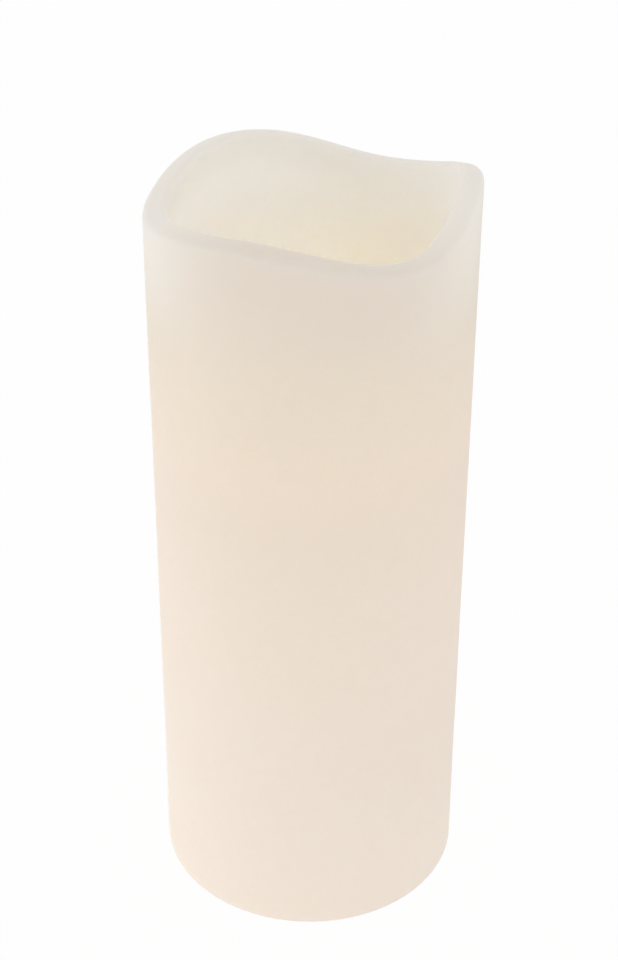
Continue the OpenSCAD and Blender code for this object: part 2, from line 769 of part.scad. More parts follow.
// Contact plate under the barrel's top, with a tab up to the board
module top_contact(side) {
    translate([side * well_x, 0, 0]) post(contact_w / 2, contact_z, barrel_top_z);
    translate([side * tab_x - sheet_t / 2, -tab_w / 2, contact_z])
        cube([sheet_t, tab_w, tab_top - contact_z]);
}

module positive_contact() color("lightsteelblue") top_contact(-1);

module negative_contact() color("lightsteelblue") top_contact(1);

module negative_spring() color("silver") translate([well_x, 0, contact_z])
    rotate([180, 0, 0]) contact_spring();

// Control board, with the parts that time and drive the light
module control_board() color("seagreen") difference() {
    translate([-board_l / 2, -board_w / 2, board_z]) cube([board_l, board_w, board_t]);
    tab_slots(board_z - eps, board_top + eps);
}

module control_chip() color("dimgray") {
    ball_r = (chip_r * chip_r + chip_h * chip_h) / (2 * chip_h);
    edge_a = asin((ball_r - chip_h) / ball_r);
    translate([chip_x, 0, board_top]) rotate_extrude()
        polygon(concat([[0, 0]], arc([0, chip_h - ball_r], ball_r, edge_a, 90, 8)));
}

module board_resistors() color("black") {
    for (s = [-1, 1]) translate([resistor_x - resistor_l / 2, s * resistor_y - resistor_w / 2, board_top])
        cube([resistor_l, resistor_w, resistor_h]);
}

module board_capacitor() color("slateblue") translate([capacitor_x, 0, 0])
    post(capacitor_r, board_top, board_top + capacitor_h);

// Core cap: covers the board, carries the stem and lets the switch wires in
module core_cap() color("whitesmoke") difference() {
    union() {
        difference() {
            translate([0, 0, barrel_top]) linear_extrude(roof_top - barrel_top) barrel_outline(0);
            translate([0, 0, barrel_top - eps])
                linear_extrude(core_cap_h + eps) barrel_outline(core_cap_wall);
        }
        at_cap_screws() post(cap_pillar_r, barrel_top, roof_top);
        post(socket_r, roof_z, socket_top);
    }
    post(stem_r + push_gap, roof_top, socket_top + eps);
    post(stem_bore, roof_z - eps, roof_top + eps);
    at_cap_screws() post(screw_r + clear_gap, barrel_top - eps, cap_seat_z + eps);
    at_cap_screws() post(screw_head_r + clear_gap, cap_seat_z, socket_top + eps);
    for (s = [-1, 1]) translate([s * switch_wire_x - notch_h / 2, -lobe_r - 1, barrel_top - eps])
        cube([notch_h, lobe_r, notch_h + eps]);
}

module cap_screws() color("silver") at_cap_screws() translate([0, 0, cap_seat_z])
    screw(screw_r, screw_head_r, screw_head_h, screw_l - pilot_gap);

// Stem and holder: lift the light to the recess floor
module led_stem() color("whitesmoke") difference() {
    post(stem_r, roof_top, holder_flange_z);
    post(stem_bore, roof_top - eps, holder_flange_z + eps);
}

module led_holder() color("linen") {
    spigot = stem_bore - push_gap;
    spigot_z = holder_flange_z - holder_spigot_l;
    bore = led_r + push_gap;
    rim_bore = led_rim_r + push_gap;
    seat_z = led_z + led_rim_t;
    rotate_extrude() polygon([
        [rim_bore, spigot_z], [spigot, spigot_z], [spigot, holder_flange_z],
        [holder_flange_d / 2, holder_flange_z], [holder_flange_d / 2, hollow_top],
        [holder_r, hollow_top], [holder_r, holder_top - holder_chamfer],
        [holder_r - holder_chamfer, holder_top], [bore, holder_top], [bore, seat_z], [rim_bore, seat_z]
    ]);
}

module led_bulb() color("lemonchiffon") translate([0, 0, led_z]) rotate_extrude() polygon(concat(
    [[0, 0], [led_rim_r, 0], [led_rim_r, led_rim_t], [led_r, led_rim_t]],
    arc([0, led_l - led_r], led_r, 0, 90, 12)
));

module led_leads() color("silver") at_leads() translate([0, 0, lead_z + lead_l / 2])
    cube([lead_side, lead_side, lead_l], center = true);

module lead_sleeves() color("black") at_leads() difference() {
    post(sleeve_in_r + sleeve_wall, sleeve_z, sleeve_z + sleeve_l);
    post(sleeve_in_r, sleeve_z - eps, sleeve_z + sleeve_l + eps);
}

// Wire from a lead down the stem to the board: straight in its sleeve, then with a gentle bow
module led_wire(side) {
    straight = sleeve_l;
    bowed = wire_top - straight - 2 * wire_d - board_top;
    x = side * lead_pitch / 2;
    route = concat(
        [[x, 0, wire_top]],
        [for (share = [0, 0.2, 0.4, 0.6, 0.8, 1])
            [x, wire_bow * sin(360 * share), wire_top - straight - bowed * share]],
        [[x, 0, board_top]]
    );
    path = held_route(route, 2);
    tube(path, [for (p = path) [1, 0, 0]], wire_d / 2, 8);
}

module led_wire_positive() color("firebrick") led_wire(-1);

module led_wire_negative() color("black") led_wire(1);

// Slide switch: a steel frame with ears, an insulating block with terminals, and a knob
module switch_frame() color("silver") translate([0, switch_y, frame_z]) difference() {
    union() {
        translate([-switch_l / 2, -switch_w / 2, 0]) cube([switch_l, switch_w, frame_t]);
        translate([-can_l / 2, -switch_w / 2, 0]) cube([can_l, switch_w, can_h]);
    }
    translate([-can_l / 2 + frame_t, -switch_w / 2 + frame_t, frame_t])
        cube([can_l - 2 * frame_t, switch_w - 2 * frame_t, can_h]);
    translate([-slot_l / 2, -slot_w / 2, -eps]) cube([slot_l, slot_w, frame_t + 2 * eps]);
    for (s = [-1, 1]) translate([s * switch_pitch / 2, 0, 0])
        post(small_screw_r + clear_gap, -eps, frame_t + eps);
}

module switch_block() color("peru") translate([-can_l / 2, switch_y - switch_w / 2, can_top])
    cube([can_l, switch_w, block_t]);

module switch_terminals() color("gold") for (i = [-1 : 1])
    translate([i * terminal_pitch - terminal_t / 2, switch_y - terminal_w / 2, block_top])
        cube([terminal_t, terminal_w, terminal_l]);

module switch_knob() color("dimgray") translate([-knob_travel / 2, switch_y, 0]) {
    difference() {
        translate([-knob_l / 2, -knob_w / 2, knob_tip]) cube([knob_l, knob_w, slider_z - knob_tip + eps]);
        for (i = [0 : knob_grooves - 1])
            translate([(i - (knob_grooves - 1) / 2) * knob_l / knob_grooves, 0, knob_tip])
            cube([knob_groove_w, knob_w + 1, 2 * knob_groove_depth], center = true);
    }
    translate([-slider_l / 2, -slider_w / 2, slider_z]) cube([slider_l, slider_w, slider_h]);
}

module switch_screws() color("silver") at_switch_screws() translate([0, 0, frame_z + frame_t])
    screw(small_screw_r, small_head_r, small_head_h, small_screw_l);

module switch_wire(side, terminal_x) {
    path = held_route(switch_wire_route(side, terminal_x), 3);
    tube(path, [for (p = path) [1, 0, 0]], wire_d / 2, 8);
}

module switch_wire_left() color("firebrick") switch_wire(-1, 0);

module switch_wire_right() color("black") switch_wire(1, terminal_pitch);

wax_shell();
base_plate();
base_screws();
battery_lid();
lid_bridge_contact();
lid_spring();
battery_barrel();
battery_left();
battery_right();
positive_contact();
negative_contact();
negative_spring();
control_board();
control_chip();
board_resistors();
board_capacitor();
core_cap();
cap_screws();
led_stem();
led_holder();
led_bulb();
led_leads();
lead_sleeves();
led_wire_positive();
led_wire_negative();
switch_frame();
switch_block();
switch_terminals();
switch_knob();
switch_screws();
switch_wire_left();
switch_wire_right();
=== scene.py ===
import math

import bmesh
import bpy
import numpy as np
from mathutils import Matrix, Vector


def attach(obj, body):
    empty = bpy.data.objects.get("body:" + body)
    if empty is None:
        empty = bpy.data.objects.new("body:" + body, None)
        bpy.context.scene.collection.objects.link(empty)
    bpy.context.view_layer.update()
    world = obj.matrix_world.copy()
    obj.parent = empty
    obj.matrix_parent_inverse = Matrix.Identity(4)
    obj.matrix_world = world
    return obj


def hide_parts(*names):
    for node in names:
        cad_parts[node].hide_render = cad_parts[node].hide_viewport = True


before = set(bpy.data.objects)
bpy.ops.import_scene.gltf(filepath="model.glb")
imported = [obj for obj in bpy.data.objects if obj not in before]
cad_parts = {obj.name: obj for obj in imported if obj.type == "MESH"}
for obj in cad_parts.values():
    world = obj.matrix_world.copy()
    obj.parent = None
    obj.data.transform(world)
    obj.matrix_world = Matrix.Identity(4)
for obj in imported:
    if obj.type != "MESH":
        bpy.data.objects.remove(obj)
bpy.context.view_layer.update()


# Wax shell: the pillar itself, one hollow casting of ivory paraffin. Its rim was melted into a soft
# wave with a round lip, so a node tree sweeps the section round and lifts it by that one rule.
# The wall is a little translucent, and a warm glow is painted on it as emission up to the height of
# the light that stands on its floor, fainter at its foot.
class Wire:
    """One output of a node tree. Arithmetic adds Math nodes, and node() adds any other node."""

    def __init__(self, tree, socket=None):
        self.tree = tree
        self.socket = socket

    def node(self, kind, settings=None, sockets=None, output=0):
        """Adds a node, makes its settings, sets or links its sockets, and gives one output."""
        made = self.tree.nodes.new(kind)
        for name, value in (settings or {}).items():
            setattr(made, name, value)
        for name, value in (sockets or {}).items():
            if isinstance(value, Wire):
                self.tree.links.new(value.socket, made.inputs[name])
            else:
                made.inputs[name].default_value = value
        return Wire(self.tree, made.outputs[output])

    def math(self, operation, *values):
        return self.node("ShaderNodeMath", {"operation": operation}, dict(enumerate(values)))

    def smooth(self, low, high, start=0.0, end=1.0):
        """Goes softly from start to end, while the value goes from low to high."""
        limits = {"Value": self, "From Min": low, "From Max": high, "To Min": start, "To Max": end}
        return self.node("ShaderNodeMapRange", {"interpolation_type": "SMOOTHSTEP"}, limits)

    def fade(self, low, high):
        """Goes softly from 1 to 0, while the value goes from low to high."""
        return self.smooth(low, high, 1.0, 0.0)

    def part(self, axis):
        return self.node("ShaderNodeSeparateXYZ", None, {0: self}, axis)

    def __add__(self, other):
        return self.math("ADD", self, other)

    def __sub__(self, other):
        return self.math("SUBTRACT", self, other)

    def __rsub__(self, other):
        return self.math("SUBTRACT", other, self)

    def __mul__(self, other):
        return self.math("MULTIPLY", self, other)

    def __truediv__(self, other):
        return self.math("DIVIDE", self, other)

    def __rtruediv__(self, other):
        return self.math("DIVIDE", other, self)

    __radd__ = __add__
    __rmul__ = __mul__


def new_finish(name, constants):
    """A new material with these shader sockets set, a wire to build with and Object coordinates."""
    material = bpy.data.materials.new(name)
    material.use_nodes = True
    shader = material.node_tree.nodes["Principled BSDF"]
    for socket, value in constants.items():
        shader.inputs[socket].default_value = value
    make = Wire(material.node_tree)
    return material, make, make.node("ShaderNodeTexCoord", output="Object")


def feed(material, wires):
    """Links what changes over the surface to the material's shader."""
    shader = material.node_tree.nodes["Principled BSDF"]
    for socket, wire in wires.items():
        material.node_tree.links.new(wire.socket, shader.inputs[socket])


def noise(make, place, scale, detail=2.0, rough=0.5):
    """A soft noise about 0.5, with so many waves in one unit of the place."""
    return make.node("ShaderNodeTexNoise", None, {
        "Vector": place, "Scale": scale, "Detail": detail, "Roughness": rough,
    })


def blend(make, share, low, high):
    """A colour between two, by a share from 0 to 1. A Mix node's colours are sockets 6 and 7."""
    return make.node("ShaderNodeMix", {"data_type": "RGBA"}, {0: share, 6: low, 7: high}, 2)


def pitted(make, strength, deepest, height):
    """The normal of a surface whose pits follow a height from 0 to 1."""
    return make.node("ShaderNodeBump", None, {
        "Strength": strength, "Distance": deepest, "Height": height,
    })


def new_tree(name, sizes):
    """A geometry tree with a named input for each size: the tree, its inputs, their identifiers."""
    tree = bpy.data.node_groups.new(name, "GeometryNodeTree")
    tree.interface.new_socket("Geometry", in_out="OUTPUT", socket_type="NodeSocketGeometry")
    tree.interface.new_socket("Start", in_out="INPUT", socket_type="NodeSocketGeometry")
    identifiers = {}
    for size, kind in sizes.items():
        socket = tree.interface.new_socket(size, in_out="INPUT", socket_type="NodeSocket" + kind)
        identifiers[size] = socket.identifier
    inputs = tree.nodes.new("NodeGroupInput")
    given = {socket.name: Wire(tree, socket) for socket in inputs.outputs if socket.name}
    return tree, given, identifiers


def end_tree(tree, shape, material):
    """Closes a tree: smooth, realized, with its material."""
    make = Wire(tree)
    shape = make.node("GeometryNodeSetShadeSmooth", None, {"Geometry": shape, "Shade Smooth": True})
    shape = make.node("GeometryNodeRealizeInstances", None, {"Geometry": shape})
    shape = make.node("GeometryNodeSetMaterial", None, {"Geometry": shape, "Material": material})
    tree.links.new(shape.socket, tree.nodes.new("NodeGroupOutput").inputs[0])


def bake(tree, identifiers, values, points, edges=()):
    """Runs a tree on a start mesh of points and edges, and returns its result as a plain mesh."""
    start = bpy.data.meshes.new(tree.name)
    start.from_pydata(points, edges, [])
    carrier = bpy.data.objects.new(tree.name, start)
    bpy.context.scene.collection.objects.link(carrier)
    modifier = carrier.modifiers.new(tree.name, "NODES")
    modifier.node_group = tree
    for size, value in values.items():
        modifier[identifiers[size]] = value
    evaluated = carrier.evaluated_get(bpy.context.evaluated_depsgraph_get())
    mesh = bpy.data.meshes.new_from_object(evaluated)
    carrier.modifiers.remove(modifier)
    bpy.data.objects.remove(carrier)
    return mesh


WELD = 1e-7
CREASE = math.radians(40)


def add_piece(name, mesh, body, slot, *nodes):
    """Puts a mesh in the scene as a piece that rides on a body and stands for CAD nodes."""
    mesh.name = name
    shape = bmesh.new()
    shape.from_mesh(mesh)
    bmesh.ops.remove_doubles(shape, verts=shape.verts, dist=WELD)
    bmesh.ops.recalc_face_normals(shape, faces=shape.faces)
    shape.to_mesh(mesh)
    shape.free()
    mesh.set_sharp_from_angle(angle=CREASE)
    piece = bpy.data.objects.new(name, mesh)
    bpy.context.scene.collection.objects.link(piece)
    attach(piece, body)
    if nodes:
        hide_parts(*nodes)


def arc_points(centre, radius, start, end, steps):
    """Points of an arc in the plane of radius and height, with angles in degrees."""
    angles = np.radians(np.linspace(start, end, steps + 1))
    return [(centre[0] + radius * math.cos(a), centre[1] + radius * math.sin(a)) for a in angles]


def line_points(start, end, steps):
    """Points along a line without its two ends."""
    shares = np.linspace(0, 1, steps + 1)[1:-1]
    rise = (end[0] - start[0], end[1] - start[1])
    return [(start[0] + rise[0] * s, start[1] + rise[1] * s) for s in shares]


CANDLE_R = 0.0375
RIM_H = 0.18297
RIM_WALL = 0.0054
RIM_WAVES = (  # height of each wave and its phase in degrees, from one wave round to seven
    (0.0007, 329), (0.00085, 352), (0.0034, 7), (0.00065, 3),
    (0.00035, 305), (0.0001, 272), (0.00015, 290),
)
LIP_OUT_R = 0.0016
LIP_IN_R = 0.0012
LIP_FALL = 0.00065
WAVE_SETTLES = 0.002  # below the lip, where the wave has its full height
RECESS_FLOOR = 0.126
RECESS_DRAFT = 0.0016
RECESS_FILLET = 0.007
HOLLOW_TOP = 0.120
HOLLOW_R = 0.031
HOLLOW_FILLET = 0.004
HOLDER_HOLE_R = 0.006
REBATE_R = 0.0335
REBATE_TOP = 0.004
FOOT_ROUND = 0.0006
WAX_EDGE = 0.0005
EDGE_SAG = 0.3 * WAX_EDGE
CAST_SHRINK = 0.0003
CAST_WAVES = 1.3
CAST_SKIN = 0.004  # how far in from the outer wall the casting shrank
CAST_FROM = (0.004, 0.03)  # heights over which the shrink comes in
STEPS_ROUND = 400
WALL_STEPS = 76
LIP_OUT_STEPS = 10
LIP_TOP_STEPS = 8
LIP_IN_STEPS = 16
RECESS_STEPS = 30
BOWL_STEPS = 9
FLOOR_STEPS = 12
HOLLOW_STEPS = 12
FILLET_STEPS = 6
EDGE_STEPS = 4

rim_in = CANDLE_R - RIM_WALL
bowl = (rim_in - RECESS_DRAFT - RECESS_FILLET, RECESS_FLOOR + RECESS_FILLET)
slope = math.atan(LIP_FALL / (RIM_WALL - LIP_OUT_R - LIP_IN_R))
lip_in = (rim_in + LIP_IN_R, RIM_H - LIP_IN_R)
lip_run = (lip_in[0] + LIP_OUT_R - CANDLE_R) * math.sin(slope)
lip_out = (CANDLE_R - LIP_OUT_R, lip_in[1] + (lip_run + LIP_IN_R - LIP_OUT_R) / math.cos(slope))
lip_turn = 90 - math.degrees(slope)
lip_inside = arc_points(lip_in, LIP_IN_R, lip_turn, 180, LIP_IN_STEPS)
hole_edge = (HOLDER_HOLE_R + WAX_EDGE, RECESS_FLOOR)
vault = (HOLLOW_R - HOLLOW_FILLET, HOLLOW_TOP - HOLLOW_FILLET)

section = [(REBATE_R, WAX_EDGE), (REBATE_R + EDGE_SAG, EDGE_SAG), (REBATE_R + WAX_EDGE, 0.0)]
section += arc_points((CANDLE_R - FOOT_ROUND, FOOT_ROUND), FOOT_ROUND, -90, 0, FILLET_STEPS)
section += line_points((CANDLE_R, FOOT_ROUND), (CANDLE_R, lip_out[1]), WALL_STEPS)
section += arc_points(lip_out, LIP_OUT_R, 0, lip_turn, LIP_OUT_STEPS)
section += line_points(section[-1], lip_inside[0], LIP_TOP_STEPS)
section += lip_inside
section += line_points((rim_in, lip_in[1]), (bowl[0] + RECESS_FILLET, bowl[1]), RECESS_STEPS)
section += arc_points(bowl, RECESS_FILLET, 0, -90, BOWL_STEPS)
section += line_points((bowl[0], RECESS_FLOOR), hole_edge, FLOOR_STEPS)
section += arc_points((hole_edge[0], RECESS_FLOOR - WAX_EDGE), WAX_EDGE, 90, 180, EDGE_STEPS)
section += [(HOLDER_HOLE_R, HOLLOW_TOP)]
section += line_points((HOLDER_HOLE_R, HOLLOW_TOP), (vault[0], HOLLOW_TOP), FILLET_STEPS)
section += arc_points(vault, HOLLOW_FILLET, 90, 0, FILLET_STEPS)
section += line_points((HOLLOW_R, vault[1]), (HOLLOW_R, REBATE_TOP), HOLLOW_STEPS)
section += [(HOLLOW_R, REBATE_TOP), (REBATE_R, REBATE_TOP)]

# A pair of tones goes from the darker to the paler clouds in the wax. FROM and ENDS say over which
# stretch, in metres, a tone comes in or goes.
# The wall is painted paler at the foot, painted light, and darker towards the top, painted shade.
LIT_FOOT_TONES = ((0.93, 0.80, 0.685, 1), (0.957, 0.845, 0.75, 1))
SHADED_UPPER_TONES = ((0.86, 0.768, 0.652, 1), (0.89, 0.813, 0.717, 1))
UPPER_FROM = (0.06, RIM_H - 0.02)
# Under the rim the wax is painted paler at the sides and back, painted light, and darker at the
# front, painted shade.
RIM_SIDE_PAINTED_LIGHT = (0.955, 0.895, 0.83, 1)
RIM_FRONT_PAINTED_SHADE = (0.835, 0.755, 0.68, 1)
SHADED_FRONT_ENDS = (-0.036, -0.012)
RIM_PAINT_SHARE = 0.8
RIM_PAINT_ENDS = (0.004, 0.030)
# The recess is painted paler and greyer than the wall, painted light, and warmer deeper down,
# painted warm light of the bulb.
RECESS_TOP = (0.872, 0.858, 0.83, 1)
RECESS_DEEP_WARM_LIGHT = (0.883, 0.855, 0.795, 1)
# Painted light: the recess is painted paler towards its left side, below the rim, with the random
# clouds in it.
RECESS_PAINTED_LIGHT = (0.975, 0.98, 0.985, 1)
DEEP_FROM = (0.002, 0.018)
PAINTED_LIGHT_FROM = (0.001, 0.012)
PAINTED_LIGHT_ENDS = (-0.03, 0.03)
INSIDE_FROM = (0.0, 0.0015)
INSIDE_ENDS = (rim_in + 0.0002, rim_in + 0.0018)
# Painted glow: the wax gives off warm light from the foot up to the bulb's height, though it is no
# lamp.
NO_GLOW = (0.0, 0.0, 0.0, 1)
FOOT_GLOW = (0.5, 0.3, 0.2, 1)
LAMP_GLOW = (0.9, 0.40, 0.12, 1)
LAMP_GLOW_FROM = (0.03, 0.10)
GLOW_ENDS = (0.115, RIM_H - 0.01)

wax, make, place = new_finish("ivory_wax", {
    "Roughness": 0.68,
    "Specular IOR Level": 0.15,
    "Subsurface Weight": 0.45,
    "Subsurface Radius": (1.0, 0.85, 0.7),
    "Subsurface Scale": 0.009,
    "Emission Strength": 0.05,
})
x, y, height = (place.part(axis) for axis in range(3))
out = make.math("SQRT", x * x + y * y)
depth = make.node("ShaderNodeAttribute", {"attribute_name": "below_rim"}, output="Fac")
clouds = noise(make, place, 34.0, 3.0)
grain = noise(make, place, 240.0, 4.0, 0.6)
frost = noise(make, place, 1100.0, 2.0, 0.6)
shade = 0.5 + (clouds - 0.5) * 0.5 + (grain - 0.5) * 0.6 + (frost - 0.5) * 0.6
inside = height.smooth(RECESS_FLOOR - 0.003, RECESS_FLOOR) * out.fade(*INSIDE_ENDS)
inside = inside * depth.smooth(*INSIDE_FROM)
# Painted light, paler towards the recess's left.
recess_light = (x.fade(*PAINTED_LIGHT_ENDS) * 0.6 + shade * 0.4) * depth.smooth(*PAINTED_LIGHT_FROM)
# Painted warm light of the bulb deeper in the recess.
recess = blend(make, depth.smooth(*DEEP_FROM), RECESS_TOP, RECESS_DEEP_WARM_LIGHT)
recess = blend(make, recess_light, recess, RECESS_PAINTED_LIGHT)
# Painted light at the sides and back of the rim, painted shade at its front.
rim_light_and_shade = blend(make, y.fade(*SHADED_FRONT_ENDS), RIM_SIDE_PAINTED_LIGHT, RIM_FRONT_PAINTED_SHADE)
# Painted light at the foot and painted shade towards the top, each with the random clouds.
foot, upper = (blend(make, shade, *tones) for tones in (LIT_FOOT_TONES, SHADED_UPPER_TONES))
wall = blend(make, height.smooth(*UPPER_FROM), foot, upper)
wall = blend(make, depth.fade(*RIM_PAINT_ENDS) * RIM_PAINT_SHARE, wall, rim_light_and_shade)
# Painted warm glow, fainter at the foot.
warm = blend(make, height.smooth(*LAMP_GLOW_FROM), FOOT_GLOW, LAMP_GLOW)
feed(wax, {
    "Base Color": blend(make, inside, wall, recess),
    "Emission Color": blend(make, height.fade(*GLOW_ENDS) * (1 - inside), NO_GLOW, warm),
    "Normal": pitted(make, 0.10, 0.0004, grain * 0.7 + frost * 0.3),
})

wave_numbers = range(1, len(RIM_WAVES) + 1)
wave_sizes = {f"Wave {n} {size}": "Float" for n in wave_numbers for size in ("Height", "Phase")}
tree, given, identifiers = new_tree("melted_pillar", {
    "Steps Round": "Int", "Section Points": "Int", "Outer Radius": "Float", "Rim Height": "Float",
    "Cast Shrink": "Float", "Wave Starts At": "Float", "Wave Is Full At": "Float", **wave_sizes,
    "Wax": "Material",
})
make = Wire(tree)
grid = make.node("GeometryNodeMeshGrid", None, {
    "Size X": 1.0, "Size Y": 1.0,
    "Vertices X": given["Steps Round"] + 1, "Vertices Y": given["Section Points"] + 1,
})
place = make.node("GeometryNodeInputPosition")
turn = (place.part(0) + 0.5) * (2 * math.pi)
step = make.math("ROUND", (place.part(1) + 0.5) * given["Section Points"])
corner = make.node("GeometryNodeSampleIndex", {"data_type": "FLOAT_VECTOR", "domain": "POINT"}, {
    "Geometry": given["Start"], "Value": place,
    "Index": make.math("FLOORED_MODULO", step, given["Section Points"]),
})
radius = corner.part(0)
height = corner.part(2)
wave = 0.0
for number in wave_numbers:
    angle = turn * number - given[f"Wave {number} Phase"]
    wave = wave + given[f"Wave {number} Height"] * make.math("COSINE", angle)
rise = height.smooth(given["Wave Starts At"], given["Wave Is Full At"])
round_x = make.math("COSINE", turn)
round_y = make.math("SINE", turn)
cast_place = make.node("ShaderNodeCombineXYZ", None, {
    0: round_x, 1: round_y, 2: height / given["Outer Radius"],
})
cast = noise(make, cast_place, CAST_WAVES, 2.0, 0.45)
outside = radius.smooth(given["Outer Radius"] - CAST_SKIN, given["Outer Radius"])
cast_r = radius - cast * given["Cast Shrink"] * outside * height.smooth(*CAST_FROM)
swept = make.node("ShaderNodeCombineXYZ", None, {
    0: cast_r * round_x, 1: cast_r * round_y, 2: height + wave * rise,
})
grid = make.node("GeometryNodeStoreNamedAttribute", {"data_type": "FLOAT", "domain": "POINT"}, {
    "Geometry": grid, "Name": "below_rim", "Value": given["Rim Height"] - height,
})
pillar = make.node("GeometryNodeSetPosition", None, {"Geometry": grid, "Position": swept})
pillar = make.node("GeometryNodeMergeByDistance", None, {"Geometry": pillar, "Distance": WELD})
end_tree(tree, pillar, given["Wax"])
values = {
    "Steps Round": STEPS_ROUND, "Section Points": len(section), "Outer Radius": CANDLE_R,
    "Rim Height": RIM_H, "Cast Shrink": CAST_SHRINK, "Wave Starts At": bowl[1],
    "Wave Is Full At": lip_out[1] - WAVE_SETTLES, "Wax": wax,
}
for number, (crest, phase) in enumerate(RIM_WAVES, 1):
    values[f"Wave {number} Height"] = crest
    values[f"Wave {number} Phase"] = math.radians(phase)
pillar_mesh = bake(tree, identifiers, values, [(r, 0.0, z) for r, z in section])
add_piece("wax_pillar", pillar_mesh, "candle", "wax", "wax_shell")


# LED: a warm 5 mm bulb, milky epoxy cast over a steel lead frame with a glowing die in its cup. The
# collar has a flat on the negative side, and the bulb is pushed into its holder from below.
def turned(profile, steps):
    """A mesh turned about Z from its section in radius and height."""
    turns = np.linspace(0, 2 * math.pi, steps, endpoint=False)
    points = [(r * math.cos(turn), r * math.sin(turn), z) for turn in turns for r, z in profile]
    rows = len(profile)
    faces = []
    for n in range(steps):
        near, far = n * rows, (n + 1) % steps * rows
        faces += [(near + k, far + k, far + k + 1, near + k + 1) for k in range(rows - 1)]
    mesh = bpy.data.meshes.new("turned")
    mesh.from_pydata(points, [], faces)
    return mesh


LED_Z = 0.122
COLLAR_R = 0.0029
COLLAR_TOP = LED_Z + 0.001
COLLAR_FLAT = 0.0026
COLLAR_EDGE = 0.00012
BULB_R = 0.0025
BULB_L = 0.0086
BULB_SIDES = 64
DOME_STEPS = 14
BARREL_STEPS = 6
CUP_Z = 0.1262
DIE = (0, 0, CUP_Z + 0.0012)

epoxy, make, place = new_finish("milky_epoxy", {
    "Roughness": 0.18, "IOR": 1.5, "Transmission Weight": 0.3, "Emission Strength": 0.9,
})
from_die = make.node("ShaderNodeVectorMath", {"operation": "DISTANCE"}, {0: place, 1: DIE}, "Value")
swirl = noise(make, place, 700.0)
feed(epoxy, {
    "Base Color": blend(make, swirl, (0.93, 0.82, 0.58, 1), (0.97, 0.90, 0.72, 1)),
    "Emission Color": blend(
        make, from_die.smooth(0.0003, 0.0046), (1.0, 0.80, 0.46, 1), (0.55, 0.27, 0.07, 1)),
    "Roughness": 0.14 + swirl * 0.08,
    "Normal": pitted(make, 0.05, 0.0001, swirl),
})
dome = (0, LED_Z + BULB_L - BULB_R)
profile = [
    (0, LED_Z), (COLLAR_R - COLLAR_EDGE, LED_Z), (COLLAR_R, LED_Z + COLLAR_EDGE),
    (COLLAR_R, COLLAR_TOP - COLLAR_EDGE), (COLLAR_R - COLLAR_EDGE, COLLAR_TOP),
    (BULB_R + COLLAR_EDGE, COLLAR_TOP), (BULB_R, COLLAR_TOP + COLLAR_EDGE),
]
profile += line_points((BULB_R, COLLAR_TOP), (BULB_R, dome[1]), BARREL_STEPS)
profile += arc_points(dome, BULB_R, 0, 90, DOME_STEPS)
bulb_mesh = turned(profile, BULB_SIDES)
for vertex in bulb_mesh.vertices:
    vertex.co.x = min(vertex.co.x, COLLAR_FLAT)
bulb_mesh.materials.append(epoxy)
add_piece("led_lens", bulb_mesh, "candle", "led_epoxy", "led_bulb")


def tone(colour, factor):
    """A colour made darker or lighter."""
    return (*(min(1.0, part * factor) for part in colour[:3]), 1)


def plated(name, colour, roughness, stretch, lines=1500.0):
    """Plated metal with drawn or rolled lines along one way, and faint stains."""
    metal, make, place = new_finish(name, {"Metallic": 1.0})
    along = make.node("ShaderNodeMapping", None, {"Vector": place, "Scale": stretch})
    drawn = noise(make, along, lines, 3.0)
    stain = noise(make, place, 190.0, 3.0)
    patches = stain * 0.65 + drawn * 0.35
    feed(metal, {
        "Base Color": blend(make, patches, tone(colour, 0.82), tone(colour, 1.12)),
        "Roughness": roughness + (drawn - 0.5) * 0.16 + (stain - 0.5) * 0.12,
        "Normal": pitted(make, 0.2, 0.00005, drawn),
    })
    return metal


FRAME_T = 0.00025
FRAME_EDGE = 0.00006
BRIDGE_Z = CUP_Z + 0.0003
FRAME_BLOCKS = (  # the cup's post, the other post and the finger on it
    ((0.0003, -FRAME_T, LED_Z), (0.0015, FRAME_T, CUP_Z)),
    ((-0.0015, -FRAME_T, LED_Z), (-0.0007, FRAME_T, BRIDGE_Z)),
    ((-0.0012, -FRAME_T, BRIDGE_Z), (-0.0007, FRAME_T, BRIDGE_Z + 0.0002)),
)
CUP_X = 0.0004
CUP_FOOT_R = 0.0005
CUP_MOUTH_R = 0.0009
CUP_DEEP = 0.0006

tinned_lead = plated("tinned_lead", (0.72, 0.72, 0.71, 1), 0.30, (1.0, 1.0, 0.05))
shape = bmesh.new()
for low, high in FRAME_BLOCKS:
    size = Vector(high) - Vector(low)
    middle = Matrix.Translation((Vector(high) + Vector(low)) / 2)
    block = bmesh.ops.create_cube(shape, matrix=middle @ Matrix.Diagonal((*size, 1)))
    edges = dict.fromkeys(edge for vertex in block["verts"] for edge in vertex.link_edges)
    bmesh.ops.bevel(shape, geom=list(edges), offset=FRAME_EDGE, segments=2, affect="EDGES")
bmesh.ops.create_cone(
    shape, cap_ends=False, segments=24, radius1=CUP_FOOT_R, radius2=CUP_MOUTH_R, depth=CUP_DEEP,
    matrix=Matrix.Translation((CUP_X, 0, CUP_Z + CUP_DEEP / 2)))
frame_mesh = bpy.data.meshes.new("led_frame")
shape.to_mesh(frame_mesh)
shape.free()
frame_mesh.materials.append(tinned_lead)
add_piece("led_frame", frame_mesh, "candle", "switch_steel")


# Leads and sleeves: the bulb's two square steel leads, tinned, and the black tubes that were shrunk
# over their joints with the wires.
def dress(material, *nodes):
    """Gives CAD nodes a finish."""
    for node in nodes:
        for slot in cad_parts[node].material_slots:
            slot.material = material


